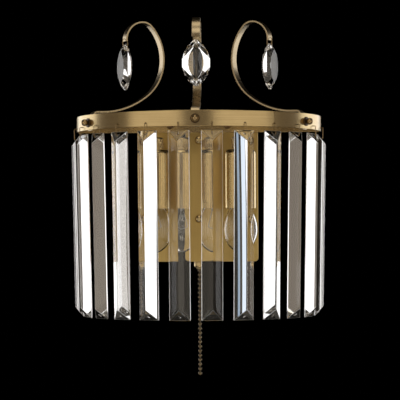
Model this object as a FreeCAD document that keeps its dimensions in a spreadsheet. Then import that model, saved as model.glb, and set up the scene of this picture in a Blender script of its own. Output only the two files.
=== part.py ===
import FreeCAD, Part
import math
import os
import re
import Sketcher

Vector = FreeCAD.Vector
Rotation = FreeCAD.Rotation
Placement = FreeCAD.Placement

# Crystal wall sconce: a brass pan on the wall carries a half ring of flat strip. Twelve
# prism bars hang from the ring in front of two lamps that point down, three scroll straps
# rise from it and hold faceted drops, and a bead chain works the switch under the pan.
#
# Frame: origin on the wall, at the middle of the crossbar's back face, half way between the
# two studs. +Z up, -Y out of the wall towards the viewer, +X to the viewer's right.

# Every driving dimension, in millimetres or degrees: alias, value, what it measures.
SIZES = [
    ("plate_width", 132.0, "backplate pan, across"),
    ("plate_height", 160.0, "backplate pan, top to bottom"),
    ("plate_depth", 22.0, "backplate pan, wall to front face"),
    ("plate_wall", 1.2, "backplate sheet"),
    ("plate_corner", 4.0, "radius of the pan's four corners"),
    ("plate_edge", 1.2, "rounding of the pan's front edge"),
    ("plate_drop", 12.0, "pan's middle below the origin"),
    ("crossbar_margin", 12.0, "wall crossbar beyond each stud"),
    ("crossbar_width", 20.0, "wall crossbar, across"),
    ("crossbar_wall", 2.5, "wall crossbar sheet"),
    ("crossbar_corner", 3.0, "wall crossbar corner radius"),
    ("slot_inset", 14.0, "box screw slot's middle from its stud"),
    ("slot_travel", 12.0, "box screw slot, end to end"),
    ("slot_width", 4.5, "box screw slot, across"),
    ("wire_hole", 9.0, "wire hole diameter"),
    ("wire_hole_inset", 30.0, "wire hole from its stud"),
    ("stud_lap", 8.7, "upper stud below the half ring's lower edge"),
    ("stud_diameter", 4.0, "pan stud"),
    ("stud_reach", 5.0, "stud in front of the pan"),
    ("thread_gap", 0.05, "radial gap of a screwed fit"),
    ("hole_gap", 0.3, "radial gap of a clearance hole"),
    ("small_nut_flats", 7.0, "small nut across flats"),
    ("small_nut_height", 3.2, "small nut"),
    ("ball_nut", 9.5, "ball cap nut diameter"),
    ("ball_nut_cut", 60.0, "latitude at which a ball is cut flat, degrees"),
    ("ring_radius", 136.5, "half ring, outer radius"),
    ("ring_wall", 1.6, "half ring strip thickness"),
    ("ring_height", 16.7, "half ring strip height"),
    ("ring_lap", 15.3, "half ring's lower edge below the pan's top"),
    ("back_bar_wall", 2.0, "straight bar that closes the half ring"),
    ("joint_gap", 0.05, "gap for solder between bar end and ring"),
    ("frame_screw_spacing", 64.0, "back bar screws, centre to centre"),
    ("frame_screw", 4.0, "back bar screw diameter"),
    ("frame_head", 8.5, "back bar screw head diameter"),
    ("frame_head_height", 2.8, "back bar screw head"),
    ("frame_head_corner", 2.2, "rounding of the back bar screw head"),
    ("scroll_spread", 60.0, "angle between scroll straps, degrees"),
    ("strap_width", 9.0, "scroll strap, across"),
    ("strap_wall", 2.0, "scroll strap thickness"),
    ("strap_tail", 0.9, "strap's end below the ring"),
    ("strap_shoulder", 4.0, "strap's two bends over the ring, centre line radius"),
    ("strap_lean", 40.0, "strap's slope between the two bends, degrees from upright"),
    ("strap_slope", 4.3, "strap's straight slope between the two bends"),
    ("strap_climb", 3.0, "strap's flat run above the ring, centre line"),
    ("strap_flat", 3.9, "strap's flat run"),
    ("curve_one", 93.6, "scroll's first arc, radius"),
    ("curve_two", 51.1, "scroll's second arc, radius"),
    ("curve_three", 14.0, "scroll's third arc, radius"),
    ("curve_four", 20.5, "scroll's last arc, radius"),
    ("turn_one", 38.1, "scroll's first arc, degrees"),
    ("turn_two", 96.9, "scroll's second arc, degrees"),
    ("turn_three", 43.4, "scroll's third arc, degrees"),
    ("strap_tip", 1.2, "straight tip at the end of the scroll"),
    ("ball_screw", 3.5, "ball screw shank diameter"),
    ("ball_screw_rise", 7.8, "ball screw above the ring's lower edge"),
    ("ball_flange", 10.0, "ball screw flange diameter"),
    ("ball_flange_wall", 1.0, "ball screw flange thickness"),
    ("ball_head", 7.5, "ball screw ball diameter"),
    ("ball_head_sink", 0.5, "how far the ball sinks into its flange"),
    ("bar_count", 12.0, "prism bars in the half ring"),
    ("bar_length", 200.0, "prism bar"),
    ("bar_width", 22.5, "prism bar, across its flat back"),
    ("bar_depth", 9.5, "prism bar, back to ridge"),
    ("bar_land", 1.0, "narrow side face of a prism bar"),
    ("bar_bevel", 9.0, "prism bar's end bevel, along the ridge"),
    ("bar_drop", 4.3, "prism bar's top below the ring's lower edge"),
    ("bar_inset", 2.3, "prism bar's back inside the strip's middle"),
    ("bar_lean", 1.15, "prism bar's lean, its foot inwards, degrees"),
    ("bar_hole", 1.6, "prism bar hole diameter"),
    ("bar_hole_inset", 4.2, "prism bar hole from the bar's end"),
    ("ring_hole", 1.8, "hook hole in the ring, diameter"),
    ("ring_hole_rise", 3.7, "hook hole above the ring's lower edge"),
    ("link_wire", 0.8, "hook link wire diameter"),
    ("link_width", 7.4, "bar link between the middles of its legs"),
    ("link_corner", 1.4, "hook link bend, centre line radius"),
    ("drop_height", 50.0, "faceted drop"),
    ("drop_width", 30.5, "faceted drop, across"),
    ("drop_depth", 12.0, "faceted drop, front to back"),
    ("drop_tip", 3.6, "faceted drop, width of its cut tips"),
    ("drop_gap", 3.5, "drop's top below the strap's tip"),
    ("drop_hole", 1.6, "faceted drop hole diameter"),
    ("drop_hole_inset", 2.0, "drop hole from the drop's top"),
    ("table_height", 36.0, "flat front face of a drop"),
    ("table_width", 17.0, "flat front face of a drop, across"),
    ("table_tip", 1.6, "flat front face of a drop, width of its tips"),
    ("ridge_length", 30.0, "ridge on a drop's back"),
    ("rim_wall", 1.2, "drop's rim, front to back"),
    ("strap_hole", 2.0, "hole near the strap's tip, diameter"),
    ("strap_hole_inset", 2.6, "strap hole from the strap's tip"),
    ("drop_link_width", 5.8, "drop link between the middles of its legs"),
    ("lamp_spacing", 92.0, "lamps, centre to centre"),
    ("lamp_reach", 56.0, "lamp axis in front of the pan"),
    ("arm_lap", 28.5, "lamp arm below the pan's top"),
    ("arm_diameter", 8.0, "lamp arm"),
    ("arm_bore", 6.0, "lamp arm bore"),
    ("arm_short", 1.0, "lamp arm's end short of the lamp's axis"),
    ("arm_tail", 5.0, "lamp arm inside the pan's front sheet"),
    ("arm_flange", 14.0, "lamp arm flange diameter"),
    ("arm_flange_wall", 2.0, "lamp arm flange thickness"),
    ("arm_nut_flats", 13.0, "lamp arm nut across flats"),
    ("arm_nut_height", 3.0, "lamp arm nut"),
    ("collar_diameter", 18.4, "fluted collar at its foot"),
    ("collar_waist", 17.4, "fluted collar at its waist"),
    ("collar_height", 12.1, "fluted collar without its neck"),
    ("collar_foot", 1.0, "fluted collar's straight foot"),
    ("collar_crown", 1.6, "fluted collar's crown"),
    ("collar_crown_corner", 2.4, "rounding under the collar's crown"),
    ("collar_top_inset", 1.0, "how far the collar's crown draws in"),
    ("collar_top_corner", 0.8, "rounding of the collar's top"),
    ("collar_neck", 1.4, "neck between collar and candle tube"),
    ("collar_neck_diameter", 13.0, "neck between collar and candle tube"),
    ("flute_count", 24.0, "flutes round the collar"),
    ("flute_width", 1.3, "flute diameter"),
    ("flute_offset", 0.26, "flute's axis outside the collar's foot"),
    ("flute_height", 8.6, "flute's top above the collar's neck"),
    ("collar_seat", 8.5, "collar's foot below the lamp arm"),
    ("tube_length", 64.2, "candle tube"),
    ("tube_diameter", 35.0, "candle tube"),
    ("tube_wall", 0.8, "candle tube sheet"),
    ("tube_shoulder", 4.5, "rounding of the candle tube's top"),
    ("holder_diameter", 27.0, "lamp holder"),
    ("holder_length", 38.2, "lamp holder below the tube's top sheet"),
    ("holder_corner", 2.0, "rounding of the lamp holder's top"),
    ("holder_nipple", 8.0, "lamp holder's threaded nipple"),
    ("holder_nipple_rise", 3.8, "nipple inside the collar"),
    ("socket_depth", 24.0, "lamp holder's socket"),
    ("cap_diameter", 13.6, "bulb cap"),
    ("cap_gap", 0.35, "bulb cap in its socket, radial"),
    ("cap_wall", 0.6, "bulb cap shell"),
    ("cap_reach", 19.5, "bulb cap inside the socket, straight part"),
    ("cap_skirt", 2.0, "bulb cap below the lamp holder"),
    ("contact_diameter", 5.0, "bulb cap's end contact"),
    ("contact_height", 4.0, "cap's cone and contact above its straight part"),
    ("contact_button", 1.3, "cap's end contact, height of its side"),
    ("contact_hollow", 2.0, "hollow of the cap below its top"),
    ("globe_diameter", 38.4, "bulb glass"),
    ("globe_widest", 23.3, "bulb's widest place below the candle tube"),
    ("neck_diameter", 23.0, "bulb glass at the candle tube's mouth"),
    ("globe_side", 26.5, "radius of the globe's lower side"),
    ("globe_side_turn", 60.0, "sweep of the globe's lower side, degrees"),
    ("glass_wall", 0.8, "bulb glass wall"),
    ("stem_height", 25.0, "bulb's glass stem"),
    ("stem_foot", 7.0, "bulb's glass stem at its foot, diameter"),
    ("stem_head", 4.0, "bulb's glass stem at its head, diameter"),
    ("filament_drop", 17.0, "filament below the stem"),
    ("filament_spread", 12.0, "filament, across"),
    ("filament_wire", 0.8, "filament and its leads, diameter"),
    ("filament_joint", 1.0, "joint of filament and lead, diameter"),
    ("filament_sag", 2.0, "filament's middle below its ends"),
    ("filament_root", 1.0, "lead's start inside the stem's head, up and across"),
    ("switch_width", 30.0, "switch body, across"),
    ("switch_depth", 14.0, "switch body, front to back"),
    ("switch_height", 22.0, "switch body"),
    ("switch_corner", 1.5, "rounding of the switch body's four edges"),
    ("switch_inset", 12.0, "switch axis in front of the wall"),
    ("nipple_diameter", 10.0, "switch nipple"),
    ("nipple_drop", 2.0, "switch nipple below the pan"),
    ("bell_diameter", 12.4, "bell under the pan"),
    ("bell_height", 8.6, "bell under the pan"),
    ("bell_side", 5.3, "bell's straight side"),
    ("bell_corner", 2.0, "rounding of the bell's shoulder"),
    ("bell_lip", 1.0, "rounding of the bell's lower end"),
    ("bell_mouth", 7.6, "bell's lower end, outside"),
    ("chain_bore", 4.8, "bore for the chain"),
    ("chain_bore_rise", 8.0, "chain bore inside the switch body"),
    ("bead_diameter", 4.0, "chain bead"),
    ("bead_pitch", 5.02, "chain beads, centre to centre"),
    ("bead_wire", 1.0, "wire between beads"),
    ("bead_count", 26.0, "beads on the chain"),
    ("chain_drop", 127.4, "chain's lower end below the pan"),
    ("lead_diameter", 2.4, "insulated lamp lead"),
    ("lead_bend", 9.0, "lamp lead bend radius"),
    ("lead_turn", 40.0, "lead's slope starts above the switch body"),
    ("lead_entry", 12.0, "lead runs straight into the switch body"),
]

FACETS = 16  # facets round the rim of a drop
PARTS_FOLDER = "parts"
TOUCH = 1e-6  # how near a point is to a plane that holds it
VOLUME_MATCH = 0.01  # how near a bent tube comes to its section times its path

doc = FreeCAD.newDocument("CrystalWallSconce")
sheet = doc.addObject("Spreadsheet::Sheet", "Sizes")
for row, (alias, number, meaning) in enumerate(SIZES, start=1):
    sheet.set(f"A{row}", meaning)
    sheet.set(f"B{row}", str(number))
    sheet.setAlias(f"B{row}", alias)
doc.recompute()

ALIAS = re.compile(r"\b(" + "|".join(alias for alias, _, _ in SIZES) + r")\b")
finished = []

# Places that several pieces share, written as expressions of the sizes.
PLATE_TOP = "(plate_height / 2 - plate_drop)"
RING_BASE = f"({PLATE_TOP} - ring_lap)"
RING_TOP = f"({RING_BASE} + ring_height)"
RING_MIDDLE = f"({RING_BASE} + ring_height / 2)"
STUD_HEIGHT = f"({RING_BASE} - stud_lap)"
BALL_SCREW_HEIGHT = f"({RING_BASE} + ball_screw_rise)"
STRIP_RADIUS = "(ring_radius - ring_wall / 2)"
RING_INSIDE = "(ring_radius - ring_wall)"
TAB_RADIUS = "(sqrt((ring_radius - ring_wall)^2 - (strap_width / 2)^2) - strap_wall / 2)"
RING_HOLE_HEIGHT = f"({RING_BASE} + ring_hole_rise)"
BAR_TOP = f"({RING_BASE} - bar_drop)"
BAR_HOLE_HEIGHT = f"({RING_BASE} - bar_drop - bar_hole_inset)"
PLATE_BOTTOM = "(-plate_drop - plate_height / 2)"
PLATE_INSIDE = "(plate_depth - plate_wall)"
ARM_HEIGHT = f"({PLATE_TOP} - arm_lap)"
TUBE_TOP = f"({ARM_HEIGHT} - collar_seat)"
TUBE_BOTTOM = f"({TUBE_TOP} - tube_length)"
HOLDER_TOP = f"({TUBE_TOP} - tube_wall)"
HOLDER_BOTTOM = f"({HOLDER_TOP} - holder_length)"
GLASS_TOP = f"({HOLDER_BOTTOM} - cap_skirt)"
LAMP_Y = "(-plate_depth - lamp_reach)"
SIDES = (("left", -1), ("right", 1))


def full(expression):
    """An expression of size names, with each name pointed at its cell."""
    return ALIAS.sub(r"Sizes.\1", str(expression))


def value(expression):
    """The number that an expression of size names comes to."""
    return float(sheet.evalExpression(full(expression)))


def bind(piece, **properties):
    """Ties properties of a piece to expressions of size names."""
    for name, expression in properties.items():
        piece.setExpression(name, full(expression))
    return piece


def place(piece, x=0, y=0, z=0, turn=None):
    """Sets a piece's Placement, with its Base tied to the sizes."""
    piece.Placement = Placement(Vector(0, 0, 0), turn or Rotation())
    for letter, expression in zip("xyz", (x, y, z)):
        piece.setExpression(f"Placement.Base.{letter}", full(expression))
    return piece


def finish(piece, label):
    """Names a finished sub-part and keeps it for export."""
    piece.Label = label
    finished.append(piece)
    return piece


def round_z(angle):
    """A turn about the vertical."""
    return Rotation(Vector(0, 0, 1), value(angle))


def outward(angle=0):
    """A turn that points a piece's +Z out of the wall, at an angle round the ring."""
    return round_z(angle) * Rotation(Vector(1, 0, 0), 90)


def on_ring(radius, angle):
    """X and Y expressions of a point of the half ring, by radius and angle."""
    return f"({radius}) * sin({angle})", f"-plate_depth - ({radius}) * cos({angle})"


# ---------------------------------------------------------------- primitives and booleans
def cylinder(name, radius, height, **where):
    piece = bind(doc.addObject("Part::Cylinder", name), Radius=radius, Height=height)
    return place(piece, **where)


def ball(name, radius, cut, **where):
    """A ball cut flat below at a latitude."""
    piece = bind(doc.addObject("Part::Sphere", name), Radius=radius, Angle1=cut)
    return place(piece, **where)


def block(name, length, width, height, **where):
    piece = doc.addObject("Part::Box", name)
    bind(piece, Length=length, Width=width, Height=height)
    return place(piece, **where)


def hexagon(name, flats, height, **where):
    """A hexagonal prism, by its size across flats."""
    piece = doc.addObject("Part::Prism", name)
    piece.Polygon = 6
    bind(piece, Circumradius=f"({flats}) / 2 / cos(30)", Height=height)
    return place(piece, **where)


def cut(name, base, tool):
    piece = doc.addObject("Part::Cut", name)
    piece.Base, piece.Tool = base, tool
    return piece


def common(name, base, tool):
    piece = doc.addObject("Part::Common", name)
    piece.Base, piece.Tool = base, tool
    return piece


def fuse(name, shapes):
    piece = doc.addObject("Part::MultiFuse", name)
    piece.Shapes = shapes
    return piece


def group(name, shapes):
    """Separate solids that share one node."""
    piece = doc.addObject("Part::Compound", name)
    piece.Links = shapes
    return piece


def mirrored(name, source):
    """A copy of a piece on the other side of the middle plane."""
    piece = doc.addObject("Part::Mirroring", name)
    piece.Source = source
    piece.Normal = Vector(1, 0, 0)
    return piece


def nut(name, flats, height, bore, **where):
    """A hexagonal nut with its hole, its foot at the given place."""
    body = hexagon(f"{name}_hexagon", flats, height, **where)
    hole = cylinder(f"{name}_hole", bore, height, **where)
    return cut(name, body, hole)


# ---------------------------------------------------------------- sketches and bodies
def new_body(name, **where):
    return place(doc.addObject("PartDesign::Body", name), **where)


def origin_feature(body, role):
    return next(feature for feature in body.Origin.OriginFeatures if feature.Role == role)


def sketch_in(body, role, name):
    sketch = body.newObject("Sketcher::SketchObject", name)
    sketch.AttachmentSupport = [(origin_feature(body, role), "")]
    sketch.MapMode = "FlatFace"
    return sketch


def limit(sketch, kind, *what, size):
    """Adds a constraint whose value follows an expression."""
    index = sketch.addConstraint(Sketcher.Constraint(kind, *what, value(size)))
    sketch.setExpression(f"Constraints[{index}]", full(size))


def pin(sketch, geometry, point, x, y):
    """Holds a point of the sketch at x, y from its origin."""
    limit(sketch, "DistanceX", geometry, point, size=x)
    limit(sketch, "DistanceY", geometry, point, size=y)


def circle(sketch, x, y, radius):
    centre = Vector(value(x), value(y), 0)
    index = sketch.addGeometry(Part.Circle(centre, Vector(0, 0, 1), value(radius)))
    pin(sketch, index, 3, x, y)
    limit(sketch, "Radius", index, size=radius)


def trim(corner, before, after, radius):
    """Where a rounding leaves the two sides of a corner, and its centre."""
    back = (before - corner).normalize()
    ahead = (after - corner).normalize()
    half = back.getAngle(ahead) / 2
    middle = (back + ahead).normalize()
    leave = corner + back * (radius / math.tan(half))
    join = corner + ahead * (radius / math.tan(half))
    return leave, join, corner + middle * (radius / math.sin(half))


def outline(sketch, corners):
    """Draws a closed outline. A corner's third value, where it has one, rounds it."""
    count = len(corners)
    points = [Vector(value(x), value(y), 0) for x, y, *_ in corners]
    ends, starts, arcs = list(points), list(points), {}
    for index, (_, _, *rounding) in enumerate(corners):
        if rounding:
            before, after = points[index - 1], points[(index + 1) % count]
            leave, join, centre = trim(points[index], before, after, value(rounding[0]))
            ends[index], starts[index], arcs[index] = leave, join, centre
    first = None
    for index in range(count):
        line = Part.LineSegment(starts[index], ends[(index + 1) % count])
        number = sketch.addGeometry(line)
        first = number if first is None else first
    for index, (x, y, *rounding) in enumerate(corners):
        line, previous = first + index, first + (index - 1) % count
        if not rounding:
            sketch.addConstraint(Sketcher.Constraint("Coincident", previous, 2, line, 1))
            pin(sketch, line, 1, x, y)
            continue
        corner = sketch.addGeometry(Part.Point(points[index]), True)
        pin(sketch, corner, 1, x, y)
        for side in (previous, line):
            sketch.addConstraint(Sketcher.Constraint("PointOnObject", corner, 1, side))
        round_corner(sketch, previous, line, ends[index], starts[index], arcs[index], rounding[0])


def round_corner(sketch, previous, line, leave, join, centre, radius):
    """Adds the arc between two sides of an outline, tangent to both."""
    from_centre, to_centre = leave - centre, join - centre
    start = math.atan2(from_centre.y, from_centre.x)
    stop = math.atan2(to_centre.y, to_centre.x)
    leftward = from_centre.cross(to_centre).z > 0
    if not leftward:
        start, stop = stop, start
    shape = Part.Circle(centre, Vector(0, 0, 1), value(radius))
    arc = sketch.addGeometry(Part.ArcOfCircle(shape, start, stop))
    near, far = (1, 2) if leftward else (2, 1)
    sketch.addConstraint(Sketcher.Constraint("Tangent", previous, 2, arc, near))
    sketch.addConstraint(Sketcher.Constraint("Tangent", line, 1, arc, far))
    limit(sketch, "Radius", arc, size=radius)


def slot(sketch, x, y, length, width):
    """Draws an upright slot with round ends, by its middle."""
    half, radius = f"({length} - {width}) / 2", f"{width} / 2"
    middle, r = Vector(value(x), value(y), 0), value(radius)
    rise, across = Vector(0, value(half), 0), Vector(r, 0, 0)
    upper = Part.Circle(middle + rise, Vector(0, 0, 1), r)
    lower = Part.Circle(middle - rise, Vector(0, 0, 1), r)
    top = sketch.addGeometry(Part.ArcOfCircle(upper, 0, math.pi))
    foot = sketch.addGeometry(Part.ArcOfCircle(lower, math.pi, 2 * math.pi))
    left = sketch.addGeometry(Part.LineSegment(middle + rise - across, middle - rise - across))
    right = sketch.addGeometry(Part.LineSegment(middle - rise + across, middle + rise + across))
    for line, start, stop in ((left, (top, 2), (foot, 1)), (right, (foot, 2), (top, 1))):
        sketch.addConstraint(Sketcher.Constraint("Tangent", line, 1, *start))
        sketch.addConstraint(Sketcher.Constraint("Tangent", line, 2, *stop))
    pin(sketch, top, 3, x, f"{y} + {half}")
    pin(sketch, foot, 3, x, f"{y} - {half}")
    limit(sketch, "Radius", top, size=radius)


def pad(body, sketch, length, reverse=False):
    feature = body.newObject("PartDesign::Pad", f"{sketch.Name}_pad")
    feature.Profile = sketch
    feature.Reversed = reverse
    return bind(feature, Length=length)


def pocket(body, sketch, length=None, reverse=False):
    """Cuts a sketch into a body, by a length, or right through both ways without one."""
    feature = body.newObject("PartDesign::Pocket", f"{sketch.Name}_pocket")
    feature.Profile = sketch
    feature.Reversed = reverse
    if length is None:
        feature.Type = "ThroughAll"
        feature.SideType = "Symmetric"
        return feature
    return bind(feature, Length=length)


def revolve(body, sketch):
    feature = body.newObject("PartDesign::Revolution", f"{sketch.Name}_turned")
    feature.Profile = sketch
    feature.ReferenceAxis = (origin_feature(body, "Z_Axis"), [""])
    feature.Angle = 360
    return feature


def turned(name, corners, **where):
    """A piece turned about the vertical, from its half section of (radius, height) corners."""
    body = new_body(name, **where)
    section = sketch_in(body, "XZ_Plane", f"{name}_section")
    outline(section, corners)
    revolve(body, section)
    return body


# ---------------------------------------------------------------- wall side
def wall_crossbar():
    body = new_body("crossbar")
    face = sketch_in(body, "XZ_Plane", "crossbar_face")
    x, z = "crossbar_width / 2", f"({STUD_HEIGHT} + crossbar_margin)"
    outline(face, [(f"{sx} * {x}", f"{sz} * {z}", "crossbar_corner")
                   for sx, sz in ((-1, -1), (1, -1), (1, 1), (-1, 1))])
    pad(body, face, "crossbar_wall")
    holes = sketch_in(body, "XZ_Plane", "crossbar_holes")
    for side in (-1, 1):
        circle(holes, 0, f"{side} * {STUD_HEIGHT}", "stud_diameter / 2 + thread_gap")
        circle(holes, 0, f"{side} * ({STUD_HEIGHT} - wire_hole_inset)", "wire_hole / 2")
        slot(holes, 0, f"{side} * ({STUD_HEIGHT} - slot_inset)", "slot_travel", "slot_width")
    pocket(body, holes)
    finish(body, "wall_crossbar")


def studs_and_nuts():
    studs, nuts, caps = [], [], []
    for side in (-1, 1):
        height = f"{side} * {STUD_HEIGHT}"
        tag = "low" if side < 0 else "high"
        studs.append(cylinder(f"stud_{tag}", "stud_diameter / 2", "plate_depth + stud_reach",
                              z=height, turn=outward()))
        nuts.append(nut(f"stud_nut_{tag}", "small_nut_flats", "small_nut_height",
                        "stud_diameter / 2 + thread_gap", y="-crossbar_wall", z=height,
                        turn=outward()))
        head = ball(f"ball_{tag}", "ball_nut / 2", "-ball_nut_cut",
                    y="-plate_depth - ball_nut / 2 * sin(ball_nut_cut)", z=height, turn=outward())
        thread = cylinder(f"ball_thread_{tag}", "stud_diameter / 2 + thread_gap",
                          "stud_reach + hole_gap", y="-plate_depth", z=height, turn=outward())
        caps.append(cut(f"ball_nut_{tag}", head, thread))
    finish(group("studs", studs), "crossbar_studs")
    finish(group("stud_nuts", nuts), "stud_lock_nuts")
    finish(group("ball_nuts", caps), "ball_cap_nuts")


def backplate():
    body = new_body("pan", z="-plate_drop")
    corners = ((-1, -1), (1, -1), (1, 1), (-1, 1))
    face = sketch_in(body, "XZ_Plane", "pan_face")
    outline(face, [(f"{sx} * plate_width / 2", f"{sz} * plate_height / 2", "plate_corner")
                   for sx, sz in corners])
    block_pad = pad(body, face, "plate_depth")
    doc.recompute()
    front = -value("plate_depth")
    edges = [f"Edge{number}" for number, edge in enumerate(block_pad.Shape.Edges, start=1)
             if all(abs(vertex.Point.y - front) < TOUCH for vertex in edge.Vertexes)]
    rounding = body.newObject("PartDesign::Fillet", "pan_edge")
    rounding.Base = (block_pad, edges)
    bind(rounding, Radius="plate_edge")
    hollow = sketch_in(body, "XZ_Plane", "pan_hollow")
    outline(hollow, [(f"{sx} * (plate_width / 2 - plate_wall)",
                      f"{sz} * (plate_height / 2 - plate_wall)",
                      "plate_corner - plate_wall") for sx, sz in corners])
    pocket(body, hollow, PLATE_INSIDE, reverse=True)
    holes = sketch_in(body, "XZ_Plane", "pan_holes")
    for side in (-1, 1):
        circle(holes, 0, f"{side} * {STUD_HEIGHT} + plate_drop", "stud_diameter / 2 + hole_gap")
        circle(holes, f"{side} * frame_screw_spacing / 2", f"{RING_MIDDLE} + plate_drop",
               "frame_screw / 2 + hole_gap")
        circle(holes, f"{side} * lamp_spacing / 2", f"{ARM_HEIGHT} + plate_drop",
               "arm_diameter / 2 + hole_gap")
    pocket(body, holes, "2 * plate_depth", reverse=True)
    switch_hole = sketch_in(body, "XY_Plane", "pan_switch_hole")
    circle(switch_hole, 0, "-switch_inset", "nipple_diameter / 2 + hole_gap")
    pocket(body, switch_hole, "plate_height")
    finish(body, "backplate")


# ---------------------------------------------------------------- half ring
def ring_band():
    outer = cylinder("ring_outside", "ring_radius", "ring_height",
                     y="-plate_depth", z=RING_BASE, turn=round_z(180))
    inner = cylinder("ring_inside", RING_INSIDE, "ring_height",
                     y="-plate_depth", z=RING_BASE, turn=round_z(180))
    outer.Angle = inner.Angle = 180
    holes = []
    for number, angle in enumerate(bar_angles(), start=1):
        x, y = on_ring("ring_radius - 2 * ring_wall", angle)
        holes.append(cylinder(f"hook_hole_{number:02d}", "ring_hole / 2", "3 * ring_wall",
                              x=x, y=y, z=RING_HOLE_HEIGHT, turn=outward(angle)))
    for tag, angle in scroll_angles():
        x, y = on_ring("ring_radius - 2 * ring_wall", angle)
        holes.append(cylinder(f"scroll_hole_{tag}", "ball_screw / 2 + thread_gap", "3 * ring_wall",
                              x=x, y=y, z=BALL_SCREW_HEIGHT, turn=outward(angle)))
    band = cut("ring_strip", outer, inner)
    finish(cut("ring_drilled", band, fuse("ring_holes", holes)), "ring_band")


def back_bar():
    bar = block("bar_stock", "2 * ring_radius", "back_bar_wall", "ring_height",
                x="-ring_radius", y="-plate_depth - back_bar_wall", z=RING_BASE)
    limits = cylinder("bar_ends", f"{RING_INSIDE} - joint_gap", "ring_height",
                      y="-plate_depth", z=RING_BASE)
    holes = [cylinder(f"bar_hole_{tag}", "frame_screw / 2 + hole_gap", "3 * back_bar_wall",
                      x=f"{side} * frame_screw_spacing / 2", y="-plate_depth + back_bar_wall",
                      z=RING_MIDDLE, turn=outward()) for tag, side in SIDES]
    finish(cut("bar_drilled", common("bar_trimmed", bar, limits), fuse("bar_holes", holes)),
           "back_bar")


def frame_screws_and_nuts():
    screw = turned("frame_screw_right", [
        (0, "frame_head_height"),
        ("frame_head / 2", "frame_head_height", "frame_head_corner"),
        ("frame_head / 2", 0),
        ("frame_screw / 2", 0),
        ("frame_screw / 2", "-(back_bar_wall + plate_wall + small_nut_height + hole_gap)"),
        (0, "-(back_bar_wall + plate_wall + small_nut_height + hole_gap)"),
    ], x="frame_screw_spacing / 2", y="-plate_depth - back_bar_wall", z=RING_MIDDLE, turn=outward())
    finish(group("frame_screw_pair", [screw, mirrored("frame_screw_left", screw)]), "frame_screws")
    nuts = [nut(f"frame_nut_{tag}", "small_nut_flats", "small_nut_height",
                "frame_screw / 2 + thread_gap", x=f"{side} * frame_screw_spacing / 2",
                y=f"-{PLATE_INSIDE} + small_nut_height", z=RING_MIDDLE, turn=outward())
            for tag, side in SIDES]
    finish(group("frame_nut_pair", nuts), "frame_nuts")


# ---------------------------------------------------------------- scroll straps
def scroll_angles():
    """Each scroll strap's name and angle round the ring."""
    return ("left", "-scroll_spread"), ("centre", "0"), ("right", "scroll_spread")


def scroll_path():
    """The strap's middle line in the plane x = 0, as edges, and the tip's place.

    It climbs inside the ring, slopes inwards over its top edge, runs flat and then turns
    through three quarters of a circle in four tangent arcs, to a tip that points down.
    """
    tab = -value(TAB_RADIUS)
    foot = value(f"{RING_BASE} - strap_tail")
    shoulder, lean, slope = value("strap_shoulder"), value("strap_lean"), value("strap_slope")
    rise = shoulder + slope * math.cos(math.radians(lean))
    climb = value(f"{RING_TOP} + strap_climb") - foot - rise
    steps = [("line", climb), ("arc", shoulder, lean), ("line", slope),
             ("arc", shoulder, 90 - lean), ("line", value("strap_flat"))]
    turns = [value("turn_one"), value("turn_two"), value("turn_three")]
    turns.append(270 - sum(turns))
    radii = [value(name) for name in ("curve_one", "curve_two", "curve_three", "curve_four")]
    steps += [("arc", radius, -turn) for radius, turn in zip(radii, turns)]
    steps.append(("line", value("strap_tip")))
    point, heading, edges = Vector(0, tab, foot), Vector(0, 0, 1), []
    for kind, *sizes in steps:
        if kind == "line":
            end = point + heading * sizes[0]
            edges.append(Part.LineSegment(point, end).toShape())
            point = end
            continue
        radius, turn = sizes
        side = Vector(0, heading.z, -heading.y) * math.copysign(1, turn)
        centre = point + side * radius
        bend = Rotation(Vector(-1, 0, 0), turn)
        half = Rotation(Vector(-1, 0, 0), turn / 2)
        middle = centre + half.multVec(point - centre)
        end = centre + bend.multVec(point - centre)
        edges.append(Part.Arc(point, middle, end).toShape())
        point, heading = end, bend.multVec(heading)
    return edges, point


def scroll_straps():
    edges, tip = scroll_path()
    spine = doc.addObject("Part::Feature", "scroll_line")
    spine.Shape = Part.Wire(edges)
    section = doc.addObject("Sketcher::SketchObject", "strap_section")
    across, thick = "strap_width / 2", "strap_wall / 2"
    outline(section, [(f"{sx} * {across}", f"{sy} * {thick}")
                      for sx, sy in ((-1, -1), (1, -1), (1, 1), (-1, 1))])
    place(section, y=f"-{TAB_RADIUS}", z=f"{RING_BASE} - strap_tail")
    for tag, angle in scroll_angles():
        ribbon = doc.addObject("Part::Sweep", f"ribbon_{tag}")
        ribbon.Sections = [section]
        ribbon.Spine = (spine, [f"Edge{number + 1}" for number in range(len(edges))])
        ribbon.Solid = True
        ribbon.Frenet = False
        screw_hole = cylinder(f"tab_hole_{tag}", "ball_screw / 2 + thread_gap", "3 * strap_wall",
                              y=f"-({RING_INSIDE} - 2 * strap_wall)",
                              z=BALL_SCREW_HEIGHT, turn=outward())
        tip_hole = cylinder(f"tip_hole_{tag}", "strap_hole / 2", "2 * strap_wall",
                            y=f"{tip.y} + strap_wall", z=f"{tip.z} + strap_hole_inset",
                            turn=outward())
        holes = fuse(f"strap_holes_{tag}", [screw_hole, tip_hole])
        strap = cut(f"strap_{tag}", ribbon, holes)
        place(strap, y="-plate_depth", turn=round_z(angle))
        finish(strap, f"scroll_strap_{tag}")
    return tip


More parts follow.
